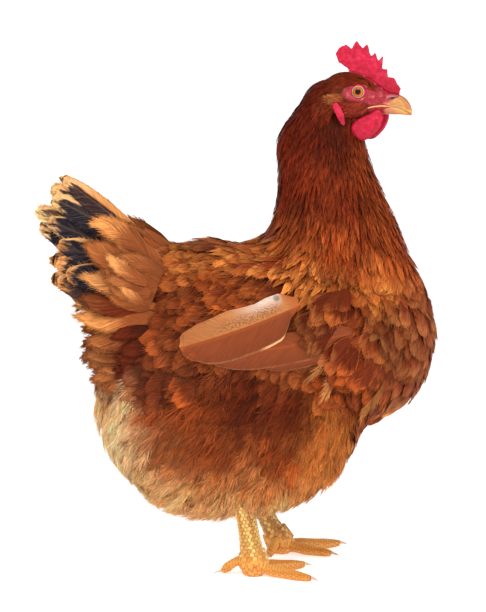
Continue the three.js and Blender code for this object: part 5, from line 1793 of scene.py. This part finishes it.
def add_leg(label, leg, skin_material, claw_material):
    nodes = [f"shank_{label}", f"foot_{label}"]
    mesh = remeshed(label, solids(*nodes), 0.6, 4)
    points, _, normals = arrays_of(mesh)
    side, top = leg["side"], smoothstep(10, 17, points[:, 2])
    gap, number = shank_scales(points, leg)
    toe_gap, toe_number = toe_scales(points, leg)
    gap = lerp(toe_gap, gap, top)
    number = np.where(top > 0.5, number, toe_number)
    points = points + normals * (0.42 * smoothstep(0.0, 1.1, gap) - 0.2)[:, None]
    z = points[:, 2]
    lively = np.sin(number * 7.77 + side) * 0.5 + 0.5
    scale = washed("scale", ("scale_pale", lively))
    scale = lerp(COLOUR["toe"], scale, (0.35 + 0.65 * smoothstep(12, 20, z))[:, None])
    # The far (left) leg is painted darker and browner above the toes, more on some scales than others: a
    # painted shade.
    if side == LEFT:
        far_shade = (0.2 + 0.35 * (1 - lively)) * smoothstep(12, 22, z)
        scale = lerp(scale, COLOUR["scale_far_shade"], far_shade[:, None])
    scale = lerp(scale, COLOUR["sole"], (1 - smoothstep(0.5, 3.0, z))[:, None])
    seam = washed("toe_seam", ("leg_seam", smoothstep(16, 30, z)))
    tint = lerp(seam, scale, smoothstep(0.1, 0.6, gap)[:, None])
    piece = mesh_piece(f"leg_{label}", points, quads_of(mesh), colours={"tint": tint})
    finished(piece, skin_material, "leg_scales", *nodes)
    for toe, _ in TOES:
        name = f"{label}_{toe}"
        crinkled("nail_" + name, ["claw_" + name], 0.35, 5, 0.04, 1.2, 97, claw_material, "claw_horn")


def add_legs():
    skin_material = grained(
        "leg_scales", (1500.0, 4.0, 0.65, 0.3), 0.8, 1.1,
        Roughness=0.42, Subsurface_Weight=0.1, Subsurface_Scale=0.001, Specular_IOR_Level=0.4,
    )
    claw_material = two_tone(
        "claw_horn", (900.0, 4.0, 0.6, 0.15), 0.3, 0.7, "claw", "claw_pale", Roughness=0.35, Coat_Weight=0.2,
    )
    for label, leg in LEGS.items():
        add_leg(label, leg, skin_material, claw_material)


head_bed = add_head()
add_head_feathers(head_bed)
add_eyes()
add_beak()
add_bare_parts()
add_legs()


# ---------------------------------------------------------------- stage, light, camera

VIEW = {
    "azimuth": math.radians(-8), "elevation": math.radians(6.5), "target": (0, 0, 225.3),
    "far": 2000.0, "lens": 138.4,
}


def add_stage():
    """A white floor that rises behind the hen in one sweep."""
    reach, bend, high = 3000.0, 1500.0, 5000.0
    turn = np.linspace(0, math.pi / 2, 13)
    profile = [(-reach, 0.0)]
    profile += [(reach + bend * math.sin(t), bend * (1 - math.cos(t))) for t in turn]
    profile.append((reach + bend, high))
    points = [(x, y, z) for y, z in profile for x in (-6000.0, 6000.0)]
    quads = [(2 * i, 2 * i + 1, 2 * i + 3, 2 * i + 2) for i in range(len(profile) - 1)]
    sweep = mesh_piece("floor", points, quads)
    white = Nodes(
        "floor_white", Roughness=0.9, Specular_IOR_Level=0.1, Base_Color=(0.9, 0.9, 0.9, 1),
        Emission_Color=(1, 1, 1, 1), Emission_Strength=0.55,
    )
    sweep.data.materials.append(white.material)


def aim(thing, place, target):
    way = Vector(target) - Vector(place)
    thing.location = place
    thing.rotation_euler = way.to_track_quat("-Z", "Y").to_euler()


def add_light(name, place, size, power, target=(0, 0, 230)):
    data = bpy.data.lights.new(name, "AREA")
    data.shape = "SQUARE"
    data.size = size * MM
    data.energy = power
    aim(add_object(name, data), to_row(place), to_row(target))


def add_camera():
    data = bpy.data.cameras.new("camera")
    data.lens = VIEW["lens"]
    data.sensor_width = 36
    data.clip_end = 50
    camera = add_object("camera", data)
    a, e = VIEW["azimuth"], VIEW["elevation"]
    back = np.array([math.sin(a) * math.cos(e), -math.cos(a) * math.cos(e), math.sin(e)])
    target = np.array(VIEW["target"])
    aim(camera, to_row(target + back * VIEW["far"]), to_row(target))
    bpy.context.scene.camera = camera


def add_world():
    world = bpy.data.worlds.new("studio")
    bpy.context.scene.world = world
    world.use_nodes = True
    background = world.node_tree.nodes["Background"]
    background.inputs["Color"].default_value = (1, 1, 1, 1)
    background.inputs["Strength"].default_value = 0.5
    bpy.context.scene.view_settings.view_transform = "Standard"


add_stage()
add_light("key", (-700, -1500, 1700), 900, 20)
add_light("front", (1300, -1100, 900), 900, 11)
add_light("rear", (-1600, -500, 400), 900, 6)
add_camera()
add_world()
